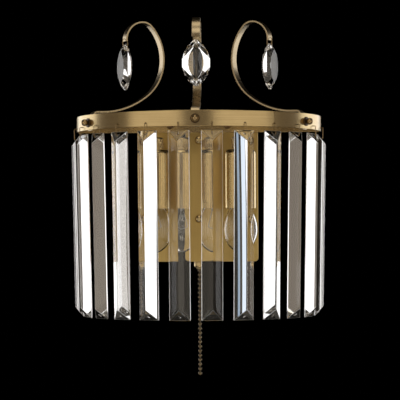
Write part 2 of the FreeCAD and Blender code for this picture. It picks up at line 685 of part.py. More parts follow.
def ball_screws_and_nuts():
    screws, nuts = [], []
    for tag, angle in scroll_angles():
        x, y = on_ring("ring_radius", angle)
        height, turn = BALL_SCREW_HEIGHT, outward(angle)
        where = dict(x=x, y=y, z=height, turn=turn)
        flange = cylinder(f"flange_{tag}", "ball_flange / 2", "ball_flange_wall", **where)
        bx, by = on_ring("ring_radius + ball_flange_wall + ball_head / 2 - ball_head_sink", angle)
        head = ball(f"head_{tag}", "ball_head / 2", -90, x=bx, y=by, z=height, turn=turn)
        depth = "ring_wall + strap_wall + small_nut_height + hole_gap"
        sx, sy = on_ring(f"ring_radius - ({depth})", angle)
        shank = cylinder(f"shank_{tag}", "ball_screw / 2", f"{depth} + ball_flange_wall / 2",
                         x=sx, y=sy, z=height, turn=turn)
        screws.append(fuse(f"ball_screw_{tag}", [flange, head, shank]))
        nx, ny = on_ring(f"{TAB_RADIUS} - strap_wall / 2 - small_nut_height", angle)
        nuts.append(nut(f"scroll_nut_{tag}", "small_nut_flats", "small_nut_height",
                        "ball_screw / 2 + thread_gap", x=nx, y=ny, z=height, turn=turn))
    finish(group("ball_screws", screws), "scroll_ball_screws")
    finish(group("scroll_nut_set", nuts), "scroll_nuts")


# ---------------------------------------------------------------- hanging glass
def bar_angles():
    """Each prism bar's angle round the ring, from the left end to the right."""
    count = round(value("bar_count"))
    return [f"({number} - bar_count / 2 + 0.5) * 180 / bar_count" for number in range(count)]


def wire_link(name, width, height, **where):
    """A closed wire link in the radial plane, with its middle at the given place."""
    body = new_body(name, **where)
    path = sketch_in(body, "YZ_Plane", f"{name}_path")
    outline(path, [(f"{sy} * ({width}) / 2", f"{sz} * ({height}) / 2", "link_corner")
                   for sy, sz in ((-1, -1), (1, -1), (1, 1), (-1, 1))])
    section = sketch_in(body, "XY_Plane", f"{name}_section")
    circle(section, 0, f"-({width}) / 2", "link_wire / 2")
    wire = body.newObject("PartDesign::AdditivePipe", f"{name}_wire")
    wire.Profile = section
    wire.Spine = (path, [])
    return body


def hung(angle, inwards, below):
    """Where a point of a leaning bar is, by its place upright from its hook hole."""
    x, y = on_ring(f"{STRIP_RADIUS} - ({inwards}) * cos(bar_lean) - ({below}) * sin(bar_lean)", angle)
    z = f"{RING_HOLE_HEIGHT} + ({inwards}) * sin(bar_lean) - ({below}) * cos(bar_lean)"
    return dict(x=x, y=y, z=z, turn=round_z(angle) * Rotation(Vector(1, 0, 0), value("bar_lean")))


def prism_bar(number, angle):
    """A glass bar with a flat back, a ridge that faces outwards and bevelled ends."""
    body = new_body(f"bar_{number:02d}", **hung(angle, "bar_inset", f"{RING_HOLE_HEIGHT} - {BAR_TOP}"))
    section = sketch_in(body, "XY_Plane", f"bar_section_{number:02d}")
    outline(section, [("-bar_width / 2", 0), ("bar_width / 2", 0), ("bar_width / 2", "-bar_land"),
                      (0, "-bar_depth"), ("-bar_width / 2", "-bar_land")])
    pad(body, section, "bar_length", reverse=True)
    beyond = "-bar_land - 2 * (bar_depth - bar_land)"
    ends = sketch_in(body, "YZ_Plane", f"bar_bevels_{number:02d}")
    outline(ends, [("-bar_land", 0), (beyond, "-2 * bar_bevel"), (beyond, 0)])
    outline(ends, [("-bar_land", "-bar_length"), (beyond, "2 * bar_bevel - bar_length"),
                   (beyond, "-bar_length")])
    pocket(body, ends)
    holes = sketch_in(body, "XZ_Plane", f"bar_holes_{number:02d}")
    circle(holes, 0, "-bar_hole_inset", "bar_hole / 2")
    circle(holes, 0, "bar_hole_inset - bar_length", "bar_hole / 2")
    pocket(body, holes)
    finish(body, f"prism_bar_{number:02d}")


def curtain():
    """The prism bars, each with the wire link that it hangs on."""
    for number, angle in enumerate(bar_angles(), start=1):
        prism_bar(number, angle)
        height = f"({RING_HOLE_HEIGHT} - {BAR_HOLE_HEIGHT})"
        link = wire_link(f"link_{number:02d}", "link_width", height,
                         **hung(angle, "0", f"{height} / 2"))
        finish(link, f"hook_link_{number:02d}")


def lens(height, width, tip, count):
    """Points round a pointed oval with cut tips, in x and z: two arcs between the tips."""
    half, reach, point = height / 2, width / 2, tip / 2
    radius = (half ** 2 + (reach - point) ** 2) / (2 * (reach - point))
    swing = math.asin(half / radius)
    side = count // 2
    right = []
    for step in range(side):
        angle = swing * (1 - 2 * step / (side - 1))
        right.append(Vector(reach - radius + radius * math.cos(angle), 0, radius * math.sin(angle)))
    left = [Vector(-p.x, 0, -p.z) for p in right]
    return right + left


def facet(*points):
    return Part.Face(Part.makePolygon([*points, points[0]]))


def drop_solid():
    """A faceted drop, flat table to the front and a ridge at the back, its hole through it.

    The crown's facets zigzag between the rim and the table, and the back's run from the
    rim to the ridge.
    """
    height, width = value("drop_height"), value("drop_width")
    depth, tip = value("drop_depth"), value("drop_tip")
    rim = lens(height, width, tip, FACETS)
    half_rim = Vector(0, value("rim_wall") / 2, 0)
    front = [point - half_rim for point in rim]
    back = [point + half_rim for point in rim]
    flat = lens(value("table_height"), value("table_width"), value("table_tip"), FACETS)
    table = [point - Vector(0, depth / 2, 0) for point in flat]
    ridge = [Vector(0, depth / 2, side * value("ridge_length") / 2) for side in (1, -1)]
    faces = [facet(*reversed(table))]
    for index in range(FACETS):
        after = (index + 1) % FACETS
        faces.append(facet(front[index], front[after], table[index]))
        faces.append(facet(front[after], table[after], table[index]))
        faces.append(facet(back[index], back[after], front[after], front[index]))
        here = ridge[0] if back[index].z > 0 else ridge[1]
        there = ridge[0] if back[after].z > 0 else ridge[1]
        faces.append(facet(back[after], back[index], here))
        if here != there:
            faces.append(facet(back[after], here, there))
    stone = Part.Solid(Part.Shell(faces))
    if stone.Volume < 0:
        stone.reverse()
    hole = Part.makeCylinder(value("drop_hole") / 2, 2 * depth,
                             Vector(0, -depth, height / 2 - value("drop_hole_inset")),
                             Vector(0, 1, 0))
    return stone.cut(hole)


def drops(tip):
    """The faceted drops, each with the wire link that joins it to its strap's tip."""
    stone = drop_solid()
    top = tip.z - value("drop_gap")
    upper = tip.z + value("strap_hole_inset")
    lower = top - value("drop_hole_inset")
    for tag, angle in scroll_angles():
        radius = -tip.y
        x, y = on_ring(f"{radius}", angle)
        drop = doc.addObject("Part::Feature", f"drop_{tag}")
        drop.Shape = stone
        place(drop, x=x, y=y, z=f"{top} - drop_height / 2", turn=round_z(angle))
        finish(drop, f"crystal_drop_{tag}")
        link = wire_link(f"drop_ring_{tag}", "drop_link_width", f"{upper - lower}",
                         x=x, y=y, z=f"{(upper + lower) / 2}", turn=round_z(angle))
        finish(link, f"drop_link_{tag}")


# ---------------------------------------------------------------- lamps
def lamp_arms():
    arms, nuts = [], []
    for tag, side in SIDES:
        x = f"{side} * lamp_spacing / 2"
        start, reach = f"-{PLATE_INSIDE} + arm_tail", "plate_wall + arm_tail + lamp_reach - arm_short"
        pipe = cylinder(f"arm_pipe_{tag}", "arm_diameter / 2", reach,
                        x=x, y=start, z=ARM_HEIGHT, turn=outward())
        flange = cylinder(f"arm_flange_{tag}", "arm_flange / 2", "arm_flange_wall",
                          x=x, y="-plate_depth", z=ARM_HEIGHT, turn=outward())
        bore = cylinder(f"arm_bore_{tag}", "arm_bore / 2", f"2 * ({reach})",
                        x=x, y=f"{start} + arm_tail", z=ARM_HEIGHT, turn=outward())
        arms.append(cut(f"arm_{tag}", fuse(f"arm_outside_{tag}", [pipe, flange]), bore))
        nuts.append(nut(f"arm_nut_{tag}", "arm_nut_flats", "arm_nut_height",
                        "arm_diameter / 2 + thread_gap", x=x,
                        y=f"-{PLATE_INSIDE} + arm_nut_height", z=ARM_HEIGHT, turn=outward()))
    finish(group("arm_pair", arms), "lamp_arms")
    finish(group("arm_nut_pair", nuts), "arm_lock_nuts")


def socket_collars():
    top = "collar_neck + collar_height"
    body = turned("collar_right", [
        (0, 0),
        ("collar_neck_diameter / 2", 0),
        ("collar_neck_diameter / 2", "collar_neck"),
        ("collar_diameter / 2", "collar_neck"),
        ("collar_diameter / 2", "collar_neck + collar_foot"),
        ("collar_waist / 2", f"{top} - collar_height / 2"),
        ("collar_diameter / 2", f"{top} - collar_crown", "collar_crown_corner"),
        ("collar_diameter / 2 - collar_top_inset", top, "collar_top_corner"),
        (0, top),
    ], x="lamp_spacing / 2", y=LAMP_Y, z=TUBE_TOP)
    nipple = sketch_in(body, "XY_Plane", "collar_nipple_bore")
    circle(nipple, 0, 0, "holder_nipple / 2 + thread_gap")
    pocket(body, nipple, "holder_nipple_rise + 2 * thread_gap", reverse=True)
    side = sketch_in(body, "XZ_Plane", "collar_arm_bore")
    circle(side, 0, "collar_seat", "arm_diameter / 2 + thread_gap")
    pocket(body, side, "collar_diameter")
    groove = sketch_in(body, "XY_Plane", "collar_flute")
    circle(groove, 0, "-collar_diameter / 2 - flute_offset", "flute_width / 2")
    first = pocket(body, groove, "collar_neck + flute_height", reverse=True)
    flutes = body.newObject("PartDesign::PolarPattern", "collar_flutes")
    flutes.Originals = [first]
    flutes.Axis = (origin_feature(body, "Z_Axis"), [""])
    flutes.Angle = 360
    flutes.Occurrences = round(value("flute_count"))
    body.Tip = flutes
    finish(group("collar_pair", [body, mirrored("collar_left", body)]), "socket_collars")


def candle_tubes():
    for tag, side in SIDES:
        outside, inside = "tube_diameter / 2", "tube_diameter / 2 - tube_wall"
        tube = turned(f"tube_{tag}", [
            ("holder_nipple / 2 + thread_gap", TUBE_TOP),
            (outside, TUBE_TOP, "tube_shoulder"),
            (outside, TUBE_BOTTOM),
            (inside, TUBE_BOTTOM),
            (inside, HOLDER_TOP, "tube_shoulder - tube_wall"),
            ("holder_nipple / 2 + thread_gap", HOLDER_TOP),
        ], x=f"{side} * lamp_spacing / 2", y=LAMP_Y)
        finish(tube, f"candle_tube_{tag}")


def lamp_holders():
    socket_top = f"{HOLDER_BOTTOM} + socket_depth"
    nipple_top = f"{TUBE_TOP} + holder_nipple_rise"
    body = turned("holder_right", [
        (0, nipple_top),
        ("holder_nipple / 2", nipple_top),
        ("holder_nipple / 2", HOLDER_TOP),
        ("holder_diameter / 2", HOLDER_TOP, "holder_corner"),
        ("holder_diameter / 2", HOLDER_BOTTOM),
        ("cap_diameter / 2 + cap_gap", HOLDER_BOTTOM),
        ("cap_diameter / 2 + cap_gap", socket_top),
        (0, socket_top),
    ], x="lamp_spacing / 2", y=LAMP_Y)
    finish(group("holder_pair", [body, mirrored("holder_left", body)]), "lamp_holders")


def globe_section(inset):
    """Half section of the bulb's glass, drawn in by a wall, as a wire about the axis."""
    widest, neck = value("globe_diameter") / 2, value("neck_diameter") / 2
    mouth = value(TUBE_BOTTOM)
    equator = mouth - value("globe_widest")
    top, cap = value(GLASS_TOP), value("cap_diameter") / 2
    shoulder = ((mouth - equator) ** 2 + (widest - neck) ** 2) / (2 * (widest - neck))
    side, sweep = value("globe_side"), math.radians(value("globe_side_turn"))
    offset = side - widest
    tip_centre = equator - offset * math.tan(sweep)
    tip_radius = side - offset / math.cos(sweep) - inset

    def swing(centre, height, radius, angle):
        reach = radius - inset
        return Vector(centre + reach * math.cos(angle), 0, height + reach * math.sin(angle))

    high = math.asin((mouth - equator) / shoulder)
    upper = [swing(widest - shoulder, equator, shoulder, high * part) for part in (1, 0.5, 0)]
    lower = [swing(-offset, equator, side, -sweep * part) for part in (0, 0.5, 1)]
    turn = (math.pi / 2 - sweep) / 2 + sweep
    middle = Vector(tip_radius * math.cos(turn), 0, tip_centre - tip_radius * math.sin(turn))
    tip = [lower[-1], middle, Vector(0, 0, tip_centre - tip_radius)]
    start = Vector(cap - inset, 0, top - inset)
    axis_point = Vector(0, 0, top - inset)
    edges = [Part.LineSegment(axis_point, start), Part.LineSegment(start, upper[0]),
             Part.Arc(*upper), Part.Arc(*lower), Part.Arc(*tip),
             Part.LineSegment(tip[-1], axis_point)]
    return Part.Wire([edge.toShape() for edge in edges])


def globe_solid():
    """The bulb's glass about its own axis: a closed envelope with a wall."""
    axis = Vector(0, 0, 1)
    outside, inside = (Part.Face(globe_section(inset)).revolve(Vector(0, 0, 0), axis, 360)
                       for inset in (0, value("glass_wall")))
    return outside.cut(inside)


def filament_solid():
    """Stem, two leads and the filament between them, one solid about the bulb's axis."""
    top = value(GLASS_TOP) - value("glass_wall")
    stem_end = top - value("stem_height")
    level = stem_end - value("filament_drop")
    wire, half = value("filament_wire") / 2, value("filament_spread") / 2
    shapes = [Part.makeCone(value("stem_foot") / 2, value("stem_head") / 2, value("stem_height"),
                            Vector(0, 0, top), Vector(0, 0, -1))]
    inside = value("filament_root")
    for side in (-1, 1):
        root, end = Vector(side * inside, 0, stem_end + inside), Vector(side * half, 0, level)
        shapes.append(Part.makeCylinder(wire, (end - root).Length, root, end - root))
        shapes.append(Part.makeSphere(value("filament_joint") / 2, end))
    bow = Vector(0, 0, level - value("filament_sag"))
    arc = Part.Arc(Vector(-half, 0, level), bow, Vector(half, 0, level)).toShape()
    ring = Part.Wire([Part.Circle(Vector(-half, 0, level), arc.tangentAt(arc.FirstParameter),
                                  wire).toShape()])
    shapes.append(Part.Wire([arc]).makePipeShell([ring], True, False))
    return shapes[0].multiFuse(shapes[1:])


def bulbs():
    glass_shape, filament_shape = globe_solid(), filament_solid()
    radius, wall = "cap_diameter / 2", "cap_wall"
    straight, contact = f"{GLASS_TOP} + cap_skirt + cap_reach", "contact_diameter / 2"
    crown = f"{straight} + contact_height"
    for tag, side in SIDES:
        x = f"{side} * lamp_spacing / 2"
        cap = turned(f"cap_{tag}", [
            (0, crown),
            (contact, crown),
            (contact, f"{crown} - contact_button"),
            (radius, straight),
            (radius, GLASS_TOP),
            (f"{radius} - {wall}", GLASS_TOP),
            (f"{radius} - {wall}", f"{straight} - {wall} / 2"),
            (0, f"{crown} - contact_hollow"),
        ], x=x, y=LAMP_Y)
        finish(cap, f"bulb_cap_{tag}")
        for shape, label in ((glass_shape, "bulb_glass"), (filament_shape, "bulb_filament")):
            piece = doc.addObject("Part::Feature", f"{label}_shape_{tag}")
            piece.Shape = shape
            place(piece, x=x, y=LAMP_Y)
            finish(piece, f"{label}_{tag}")


# ---------------------------------------------------------------- switch, chain and leads
def pull_switch():
    inside = f"{PLATE_BOTTOM} + plate_wall"
    body = new_body("switch", y="-switch_inset", z=inside)
    case = sketch_in(body, "XY_Plane", "switch_case")
    outline(case, [(f"{sx} * switch_width / 2", f"{sy} * switch_depth / 2", "switch_corner")
                   for sx, sy in ((-1, -1), (1, -1), (1, 1), (-1, 1))])
    pad(body, case, "switch_height")
    nipple = sketch_in(body, "XY_Plane", "switch_nipple")
    circle(nipple, 0, 0, "nipple_diameter / 2")
    pad(body, nipple, "plate_wall + nipple_drop", reverse=True)
    bore = sketch_in(body, "XY_Plane", "switch_bore")
    circle(bore, 0, 0, "chain_bore / 2")
    pocket(body, bore, "2 * plate_wall + 2 * nipple_drop")
    pocket(body, bore, "chain_bore_rise", reverse=True).Label = "switch_bore_upwards"
    finish(body, "switch_body")
    bell = turned("bell", [
        ("nipple_diameter / 2 + thread_gap", 0),
        ("bell_diameter / 2", 0),
        ("bell_diameter / 2", "-bell_side", "bell_corner"),
        ("bell_mouth / 2", "-bell_height", "bell_lip"),
        ("chain_bore / 2", "-bell_height"),
        ("chain_bore / 2", "-nipple_drop - hole_gap"),
        ("nipple_diameter / 2 + thread_gap", "-nipple_drop - hole_gap"),
    ], y="-switch_inset", z=PLATE_BOTTOM)
    finish(bell, "switch_bell")


def pull_chain():
    end = f"{PLATE_BOTTOM} - chain_drop"
    beads = [ball(f"bead_{number + 1:02d}", "bead_diameter / 2", -90, y="-switch_inset",
                  z=f"{end} + bead_diameter / 2 + {number} * bead_pitch")
             for number in range(round(value("bead_count")))]
    wire = cylinder("chain_wire", "bead_wire / 2", "(bead_count - 1) * bead_pitch",
                    y="-switch_inset", z=f"{end} + bead_diameter / 2")
    finish(fuse("chain", [wire, *beads]), "pull_chain")


def tube_along(points, radius, bend):
    """A round tube along straight runs joined by tangent arcs."""
    edges, start = [], points[0]
    for before, corner, after in zip(points, points[1:], points[2:]):
        leave, join, centre = trim(corner, before, after, bend)
        middle = centre + (corner - centre).normalize() * bend
        edges.append(Part.LineSegment(start, leave).toShape())
        edges.append(Part.Arc(leave, middle, join).toShape())
        start = join
    edges.append(Part.LineSegment(start, points[-1]).toShape())
    path = Part.Wire(edges)
    ring = Part.Wire([Part.Circle(points[0], points[1] - points[0], radius).toShape()])
    tube = path.makePipeShell([ring], True, False)
    section = math.pi * radius ** 2
    if abs(tube.Volume / (section * path.Length) - 1) > VOLUME_MATCH:
        raise ValueError("a lead's tube hasn't the volume of its path")
    return tube


def lamp_leads():
    """The two insulated leads, from the arms' bores down to the switch."""
    leads = []
    radius, bend = value("lead_diameter") / 2, value("lead_bend")
    depth = value("switch_inset")
    switch_top = value(f"{PLATE_BOTTOM} + plate_wall + switch_height")
    arm_end, arm_height = -value(PLATE_INSIDE), value(ARM_HEIGHT)
    fall = arm_end + value("arm_tail") + bend
    for side in (-1, 1):
        x, near = side * value("lamp_spacing") / 2, side * value("switch_width") / 4
        route = [Vector(x, arm_end, arm_height), Vector(x, fall, arm_height),
                 Vector(x, fall, switch_top + value("lead_turn")),
                 Vector(near, -depth, switch_top + value("lead_entry")),
                 Vector(near, -depth, switch_top)]
        leads.append(tube_along(route, radius, bend))
    piece = doc.addObject("Part::Feature", "leads")
    piece.Shape = Part.makeCompound(leads)
    place(piece)
    finish(piece, "lamp_leads")


# ---------------------------------------------------------------- the whole sconce
def build():
    wall_crossbar()
    studs_and_nuts()
    backplate()
    ring_band()
    back_bar()
    frame_screws_and_nuts()
    tip = scroll_straps()
    ball_screws_and_nuts()
    curtain()
    drops(tip)
    lamp_arms()
    socket_collars()
    candle_tubes()
    lamp_holders()
    bulbs()
    pull_switch()
    pull_chain()
    lamp_leads()


def export():
    """Checks every object and writes each sub-part's solids to its own file."""
    doc.recompute()
    for piece in doc.Objects:
        if "Invalid" in piece.State or "Error" in piece.State:
            raise ValueError(f"{piece.Name} failed: {piece.State}")
    os.makedirs(PARTS_FOLDER, exist_ok=True)
    for piece in finished:
        if piece.Shape.isNull() or not piece.Shape.isValid() or not piece.Shape.Solids:
            raise ValueError(f"{piece.Label} has no valid solid")
    for piece in finished:
        piece.Shape.exportStep(os.path.join(PARTS_FOLDER, f"{piece.Label}.step"))


build()
export()
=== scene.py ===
"""Looks of the crystal wall sconce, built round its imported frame, in metres.

The frame's origin is on the wall at the crossbar's middle, +Z is up and -Y points out of
the wall at the viewer. A brass half ring carries twelve glass prism bars in front of two
lamps that point down, three scroll straps hold faceted drops, and a bead chain hangs below.
"""

import logging
import math
from collections.abc import Callable, Iterable, Sequence
from dataclasses import dataclass
from enum import Enum

import bmesh
import bpy
from mathutils import Matrix, Vector


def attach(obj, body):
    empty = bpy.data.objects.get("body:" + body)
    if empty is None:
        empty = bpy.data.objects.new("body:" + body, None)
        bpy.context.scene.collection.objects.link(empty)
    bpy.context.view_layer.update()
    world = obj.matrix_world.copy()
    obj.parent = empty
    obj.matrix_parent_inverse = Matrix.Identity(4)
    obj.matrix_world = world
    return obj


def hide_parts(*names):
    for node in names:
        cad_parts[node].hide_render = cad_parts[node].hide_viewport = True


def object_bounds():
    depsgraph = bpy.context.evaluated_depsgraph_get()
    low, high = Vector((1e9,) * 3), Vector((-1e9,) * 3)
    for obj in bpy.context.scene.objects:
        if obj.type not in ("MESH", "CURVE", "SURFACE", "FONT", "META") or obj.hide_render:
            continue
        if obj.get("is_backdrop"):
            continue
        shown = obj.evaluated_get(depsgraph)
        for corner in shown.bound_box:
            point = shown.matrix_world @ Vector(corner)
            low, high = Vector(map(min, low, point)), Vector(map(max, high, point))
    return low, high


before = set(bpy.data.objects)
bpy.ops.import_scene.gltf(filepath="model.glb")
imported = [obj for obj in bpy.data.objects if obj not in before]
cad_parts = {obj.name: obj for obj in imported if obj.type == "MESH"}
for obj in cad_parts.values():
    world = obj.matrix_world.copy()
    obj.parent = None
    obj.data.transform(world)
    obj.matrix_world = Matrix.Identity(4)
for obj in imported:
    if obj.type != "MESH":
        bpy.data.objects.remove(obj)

MM = 0.001
GROUND = "ground_edge"  # face attribute of a mesh, 1 where the glass is ground matt
BORE_FACET = 25.0  # edges of a lower angle, in degrees, are a bore's facets and stay unrounded
CAD_MERGE = 2e-6  # metres within which corners of a CAD mesh are one
MERGE = 1e-6  # metres within which corners of a finished mesh are one
FLAT = 0.3  # degrees within which the faces of a cut bar are one
LOG = logging.getLogger("sconce")

Colour = tuple[float, float, float]
Section = Sequence[tuple[float, float]]
Given = Callable[[str], bpy.types.NodeSocket]


class Side(Enum):
    """The two lamps, and which way each lies from the middle."""

    LEFT = -1
    RIGHT = 1

    @property
    def tag(self) -> str:
        """The side's word in the names of its pieces."""
        return self.name.lower()


class Scroll(Enum):
    """The three scroll straps, with each one's angle round the half ring in degrees."""

    LEFT = -60.0
    CENTRE = 0.0
    RIGHT = 60.0

    @property
    def tag(self) -> str:
        """The strap's word in the names of its pieces."""
        return self.name.lower()


class Grain(Enum):
    """Which way a metal piece was brushed, as marks to the metre along x, y and z."""

    ROUND = (18.0, 18.0, 900.0)
    UPRIGHT = (900.0, 900.0, 18.0)
    NONE = (260.0, 260.0, 260.0)


# ------------------------------------------------------------------------------ node trees
class Graph:
    """A shader or geometry tree while it is being wired."""

    def __init__(self, tree: bpy.types.NodeTree) -> None:
        """Keeps the tree that the nodes go into."""
        self.tree = tree

    def add(self, kind: str, links: dict[str | int, object] | None = None,
            **settings: object) -> bpy.types.Node:
        """Adds a node.

        Args:
            kind: The node's type in Blender.
            links: For each input, by name or number, a socket to link or a plain value.
            settings: The node's own properties.

        Returns:
            The new node.
        """
        node = self.tree.nodes.new(kind)
        for name, setting in settings.items():
            setattr(node, name, setting)
        for key, source in (links or {}).items():
            if isinstance(source, bpy.types.NodeSocket):
                self.tree.links.new(source, node.inputs[key])
            else:
                node.inputs[key].default_value = source
        return node

    def math(self, operation: str, *values: object) -> bpy.types.NodeSocket:
        """The result of a Math node on sockets or numbers."""
        return self.add("ShaderNodeMath", dict(enumerate(values)), operation=operation).outputs[0]

    def blend(self, share: bpy.types.NodeSocket, first: Colour,
              second: Colour) -> bpy.types.NodeSocket:
        """Mixes two colours.

        Args:
            share: How much of the second colour shows, from 0 to 1.
            first: The first colour, linear.
            second: The second colour, linear.

        Returns:
            The mixed colour.
        """
        tint = self.add("ShaderNodeMix", data_type="RGBA")
        self.tree.links.new(share, tint.inputs["Factor"])
        tint.inputs["A"].default_value = (*first, 1.0)
        tint.inputs["B"].default_value = (*second, 1.0)
        return tint.outputs["Result"]


# -------------------------------------------------------------------------------- finishes
@dataclass(frozen=True)
class Finish:
    """A surface finish, which becomes one material.

    Attributes:
        name: Name of the material.
    """

    name: str

    def material(self) -> bpy.types.Material:
        """Gives the finish's material.

        Returns:
            The material, which is built when it is first asked for.
        """
        if self.name in bpy.data.materials:
            return bpy.data.materials[self.name]
        material = bpy.data.materials.new(self.name)
        material.use_nodes = True
        graph = Graph(material.node_tree)
        place = graph.add("ShaderNodeTexCoord").outputs["Object"]
        self.wire(graph, place, material.node_tree.nodes["Principled BSDF"])
        return material

    def wire(self, graph: Graph, place: bpy.types.NodeSocket, surface: bpy.types.Node) -> None:
        """Wires the finish's look into the surface shader, from the place on the piece."""
        raise NotImplementedError


@dataclass(frozen=True)
class MetalFinish(Finish):
    """A metal surface: brush marks and patches of tarnish.

    Attributes:
        colour: Colour of the clean metal, linear.
        tarnish: Colour where the surface has aged.
        roughness: Mean roughness.
        grain: Which way the metal was brushed.
        mark_depth: How deep the brush marks are, in metres.
        tarnish_share: How far the oldest patches have aged, from 0 to 1.
        streaks: How far the deepest brush marks have aged, from 0 to 1.
        patch_scale: Patches of tarnish to the metre.
        aged_rough: How much rougher the aged metal is.
    """

    colour: Colour
    tarnish: Colour
    roughness: float
    grain: Grain = Grain.NONE
    mark_depth: float = 8e-6
    tarnish_share: float = 0.15
    streaks: float = 0.2
    patch_scale: float = 28.0
    aged_rough: float = 0.12

    def wire(self, graph: Graph, place: bpy.types.NodeSocket, surface: bpy.types.Node) -> None:
        """Wires the brush marks and the tarnish.

        Args:
            graph: The material's tree.
            place: The place on the piece.
            surface: The surface shader.
        """
        brushed = graph.add("ShaderNodeMapping", {"Vector": place, "Scale": self.grain.value})
        marks = graph.add("ShaderNodeTexNoise", {"Vector": brushed.outputs[0], "Scale": 1.0,
                                                 "Detail": 3.0, "Roughness": 0.6}).outputs["Fac"]
        patches = graph.add("ShaderNodeTexNoise", {
            "Vector": place, "Scale": self.patch_scale, "Detail": 4.0, "Roughness": 0.55})
        aged = graph.add("ShaderNodeMapRange", {
            "Value": patches.outputs["Fac"], "From Min": 0.35, "From Max": 0.75,
            "To Max": self.tarnish_share}, interpolation_type="SMOOTHSTEP").outputs[0]
        streaked = graph.add("ShaderNodeMapRange", {"Value": marks, "From Min": 0.3,
                                                    "From Max": 0.75, "To Max": self.streaks})
        share = graph.math("ADD", aged, streaked.outputs[0])
        tint = graph.blend(share, self.colour, self.tarnish)
        graph.tree.links.new(tint, surface.inputs["Base Color"])
        rough = graph.math("MULTIPLY_ADD", share, self.aged_rough, self.roughness)
        graph.tree.links.new(rough, surface.inputs["Roughness"])
        bump = graph.add("ShaderNodeBump", {"Height": marks, "Strength": 0.5,
                                            "Distance": self.mark_depth})
        graph.tree.links.new(bump.outputs[0], surface.inputs["Normal"])
        surface.inputs["Metallic"].default_value = 1.0


@dataclass(frozen=True)
class GlassFinish(Finish):
    """Cut or blown glass, clear through, with faint haze where it was polished.

    Attributes:
        index: Index of refraction.
        haze: Greatest roughness of the polish.
        ground: Roughness of the edges that a mesh marks as ground, or 0 for none.
    """

    index: float
    haze: float
    ground: float = 0.0

    def wire(self, graph: Graph, place: bpy.types.NodeSocket, surface: bpy.types.Node) -> None:
        """Wires the haze and the ground edges.

        Args:
            graph: The material's tree.
            place: The place on the piece.
            surface: The surface shader.
        """
        cloud = graph.add("ShaderNodeTexNoise", {"Vector": place, "Scale": 60.0, "Detail": 3.0})
        rough = graph.add("ShaderNodeMapRange", {"Value": cloud.outputs["Fac"], "From Min": 0.5,
                                                 "From Max": 0.8, "To Min": 0.0,
                                                 "To Max": self.haze}).outputs[0]
        if self.ground:
            edges = graph.add("ShaderNodeAttribute", attribute_name=GROUND)
            rough = graph.math("MULTIPLY_ADD", edges.outputs["Fac"], self.ground, rough)
        graph.tree.links.new(rough, surface.inputs["Roughness"])
        surface.inputs["Base Color"].default_value = (1.0, 1.0, 1.0, 1.0)
        surface.inputs["Transmission Weight"].default_value = 1.0
        surface.inputs["IOR"].default_value = self.index


@dataclass(frozen=True)
class MouldedFinish(Finish):
    """Porcelain, plastic, sleeve or paint: an even colour with slight mottling.

    Attributes:
        colour: Main colour, linear.
        shade: Colour of the mottling.
        roughness: Mean roughness.
        coat: Weight of the glaze on top.
        texture: Scale of the mottling, in features per metre.
    """

    colour: Colour
    shade: Colour
    roughness: float
    coat: float = 0.0
    texture: float = 300.0

    def wire(self, graph: Graph, place: bpy.types.NodeSocket, surface: bpy.types.Node) -> None:
        """Wires the mottling and the glaze.

        Args:
            graph: The material's tree.
            place: The place on the piece.
            surface: The surface shader.
        """
        mottle = graph.add("ShaderNodeTexNoise", {"Vector": place, "Scale": self.texture,
                                                  "Detail": 5.0}).outputs["Fac"]
        tint = graph.blend(mottle, self.colour, self.shade)
        graph.tree.links.new(tint, surface.inputs["Base Color"])
        rough = graph.math("MULTIPLY_ADD", mottle, 0.15, self.roughness - 0.07)
        graph.tree.links.new(rough, surface.inputs["Roughness"])
        bump = graph.add("ShaderNodeBump", {"Height": mottle, "Strength": 0.3, "Distance": 2e-5})
        graph.tree.links.new(bump.outputs[0], surface.inputs["Normal"])
        surface.inputs["Coat Weight"].default_value = self.coat


BRASS: Colour = (0.585, 0.455, 0.245)
BRASS_AGED: Colour = (0.33, 0.22, 0.085)
BRASS_PLATE = MetalFinish("brass_plate", (0.50, 0.355, 0.13), (0.30, 0.19, 0.055), 0.3,
                          Grain.UPRIGHT)
BRASS_RING = MetalFinish("brass_ring", BRASS, BRASS_AGED, 0.22, Grain.ROUND, 2.5e-5, streaks=0.3)
BRASS_STRAP = MetalFinish("brass_strap", (0.46, 0.375, 0.245), (0.28, 0.20, 0.10), 0.26)
BRASS_TURNED = MetalFinish("brass_turned", BRASS, BRASS_AGED, 0.2, Grain.ROUND)
BRASS_TUBE = MetalFinish("brass_tube", (0.62, 0.48, 0.25), BRASS_AGED, 0.16, Grain.ROUND, 1.0e-4)
BRASS_WIRE = MetalFinish("brass_wire", (0.30, 0.21, 0.10), (0.18, 0.12, 0.055), 0.25)
BRONZE_BALL = MetalFinish("bronze_ball", (0.42, 0.30, 0.155), (0.2, 0.13, 0.06), 0.22)
# near-black flange colour: painted shade and painted dark reflection round each ball head
FLANGE_PAINTED_SHADE = MetalFinish("bronze_flange", (0.085, 0.055, 0.03), (0.045, 0.03, 0.018), 0.4)
BRONZE = MetalFinish("dark_bronze", (0.16, 0.105, 0.055), (0.07, 0.045, 0.025), 0.25)
CHAIN_BRASS = MetalFinish("chain_brass", (0.21, 0.165, 0.10), (0.10, 0.07, 0.035), 0.25)
ZINC = MetalFinish("zinc_plate", (0.60, 0.61, 0.62), (0.36, 0.37, 0.38), 0.38)
NICKEL = MetalFinish("nickel_cap", (0.66, 0.63, 0.57), (0.38, 0.35, 0.30), 0.28)
TUNGSTEN = MetalFinish("tungsten", (0.42, 0.42, 0.43), (0.2, 0.2, 0.21), 0.4)
CRYSTAL = GlassFinish("cut_crystal", 1.51, 0.006, ground=0.45)
CRYSTAL_DROP = GlassFinish("drop_crystal", 1.6, 0.006)
BULB_GLASS = GlassFinish("blown_glass", 1.46, 0.015)
PORCELAIN = MouldedFinish("porcelain", (0.80, 0.78, 0.72), (0.70, 0.67, 0.60), 0.25, coat=0.6)
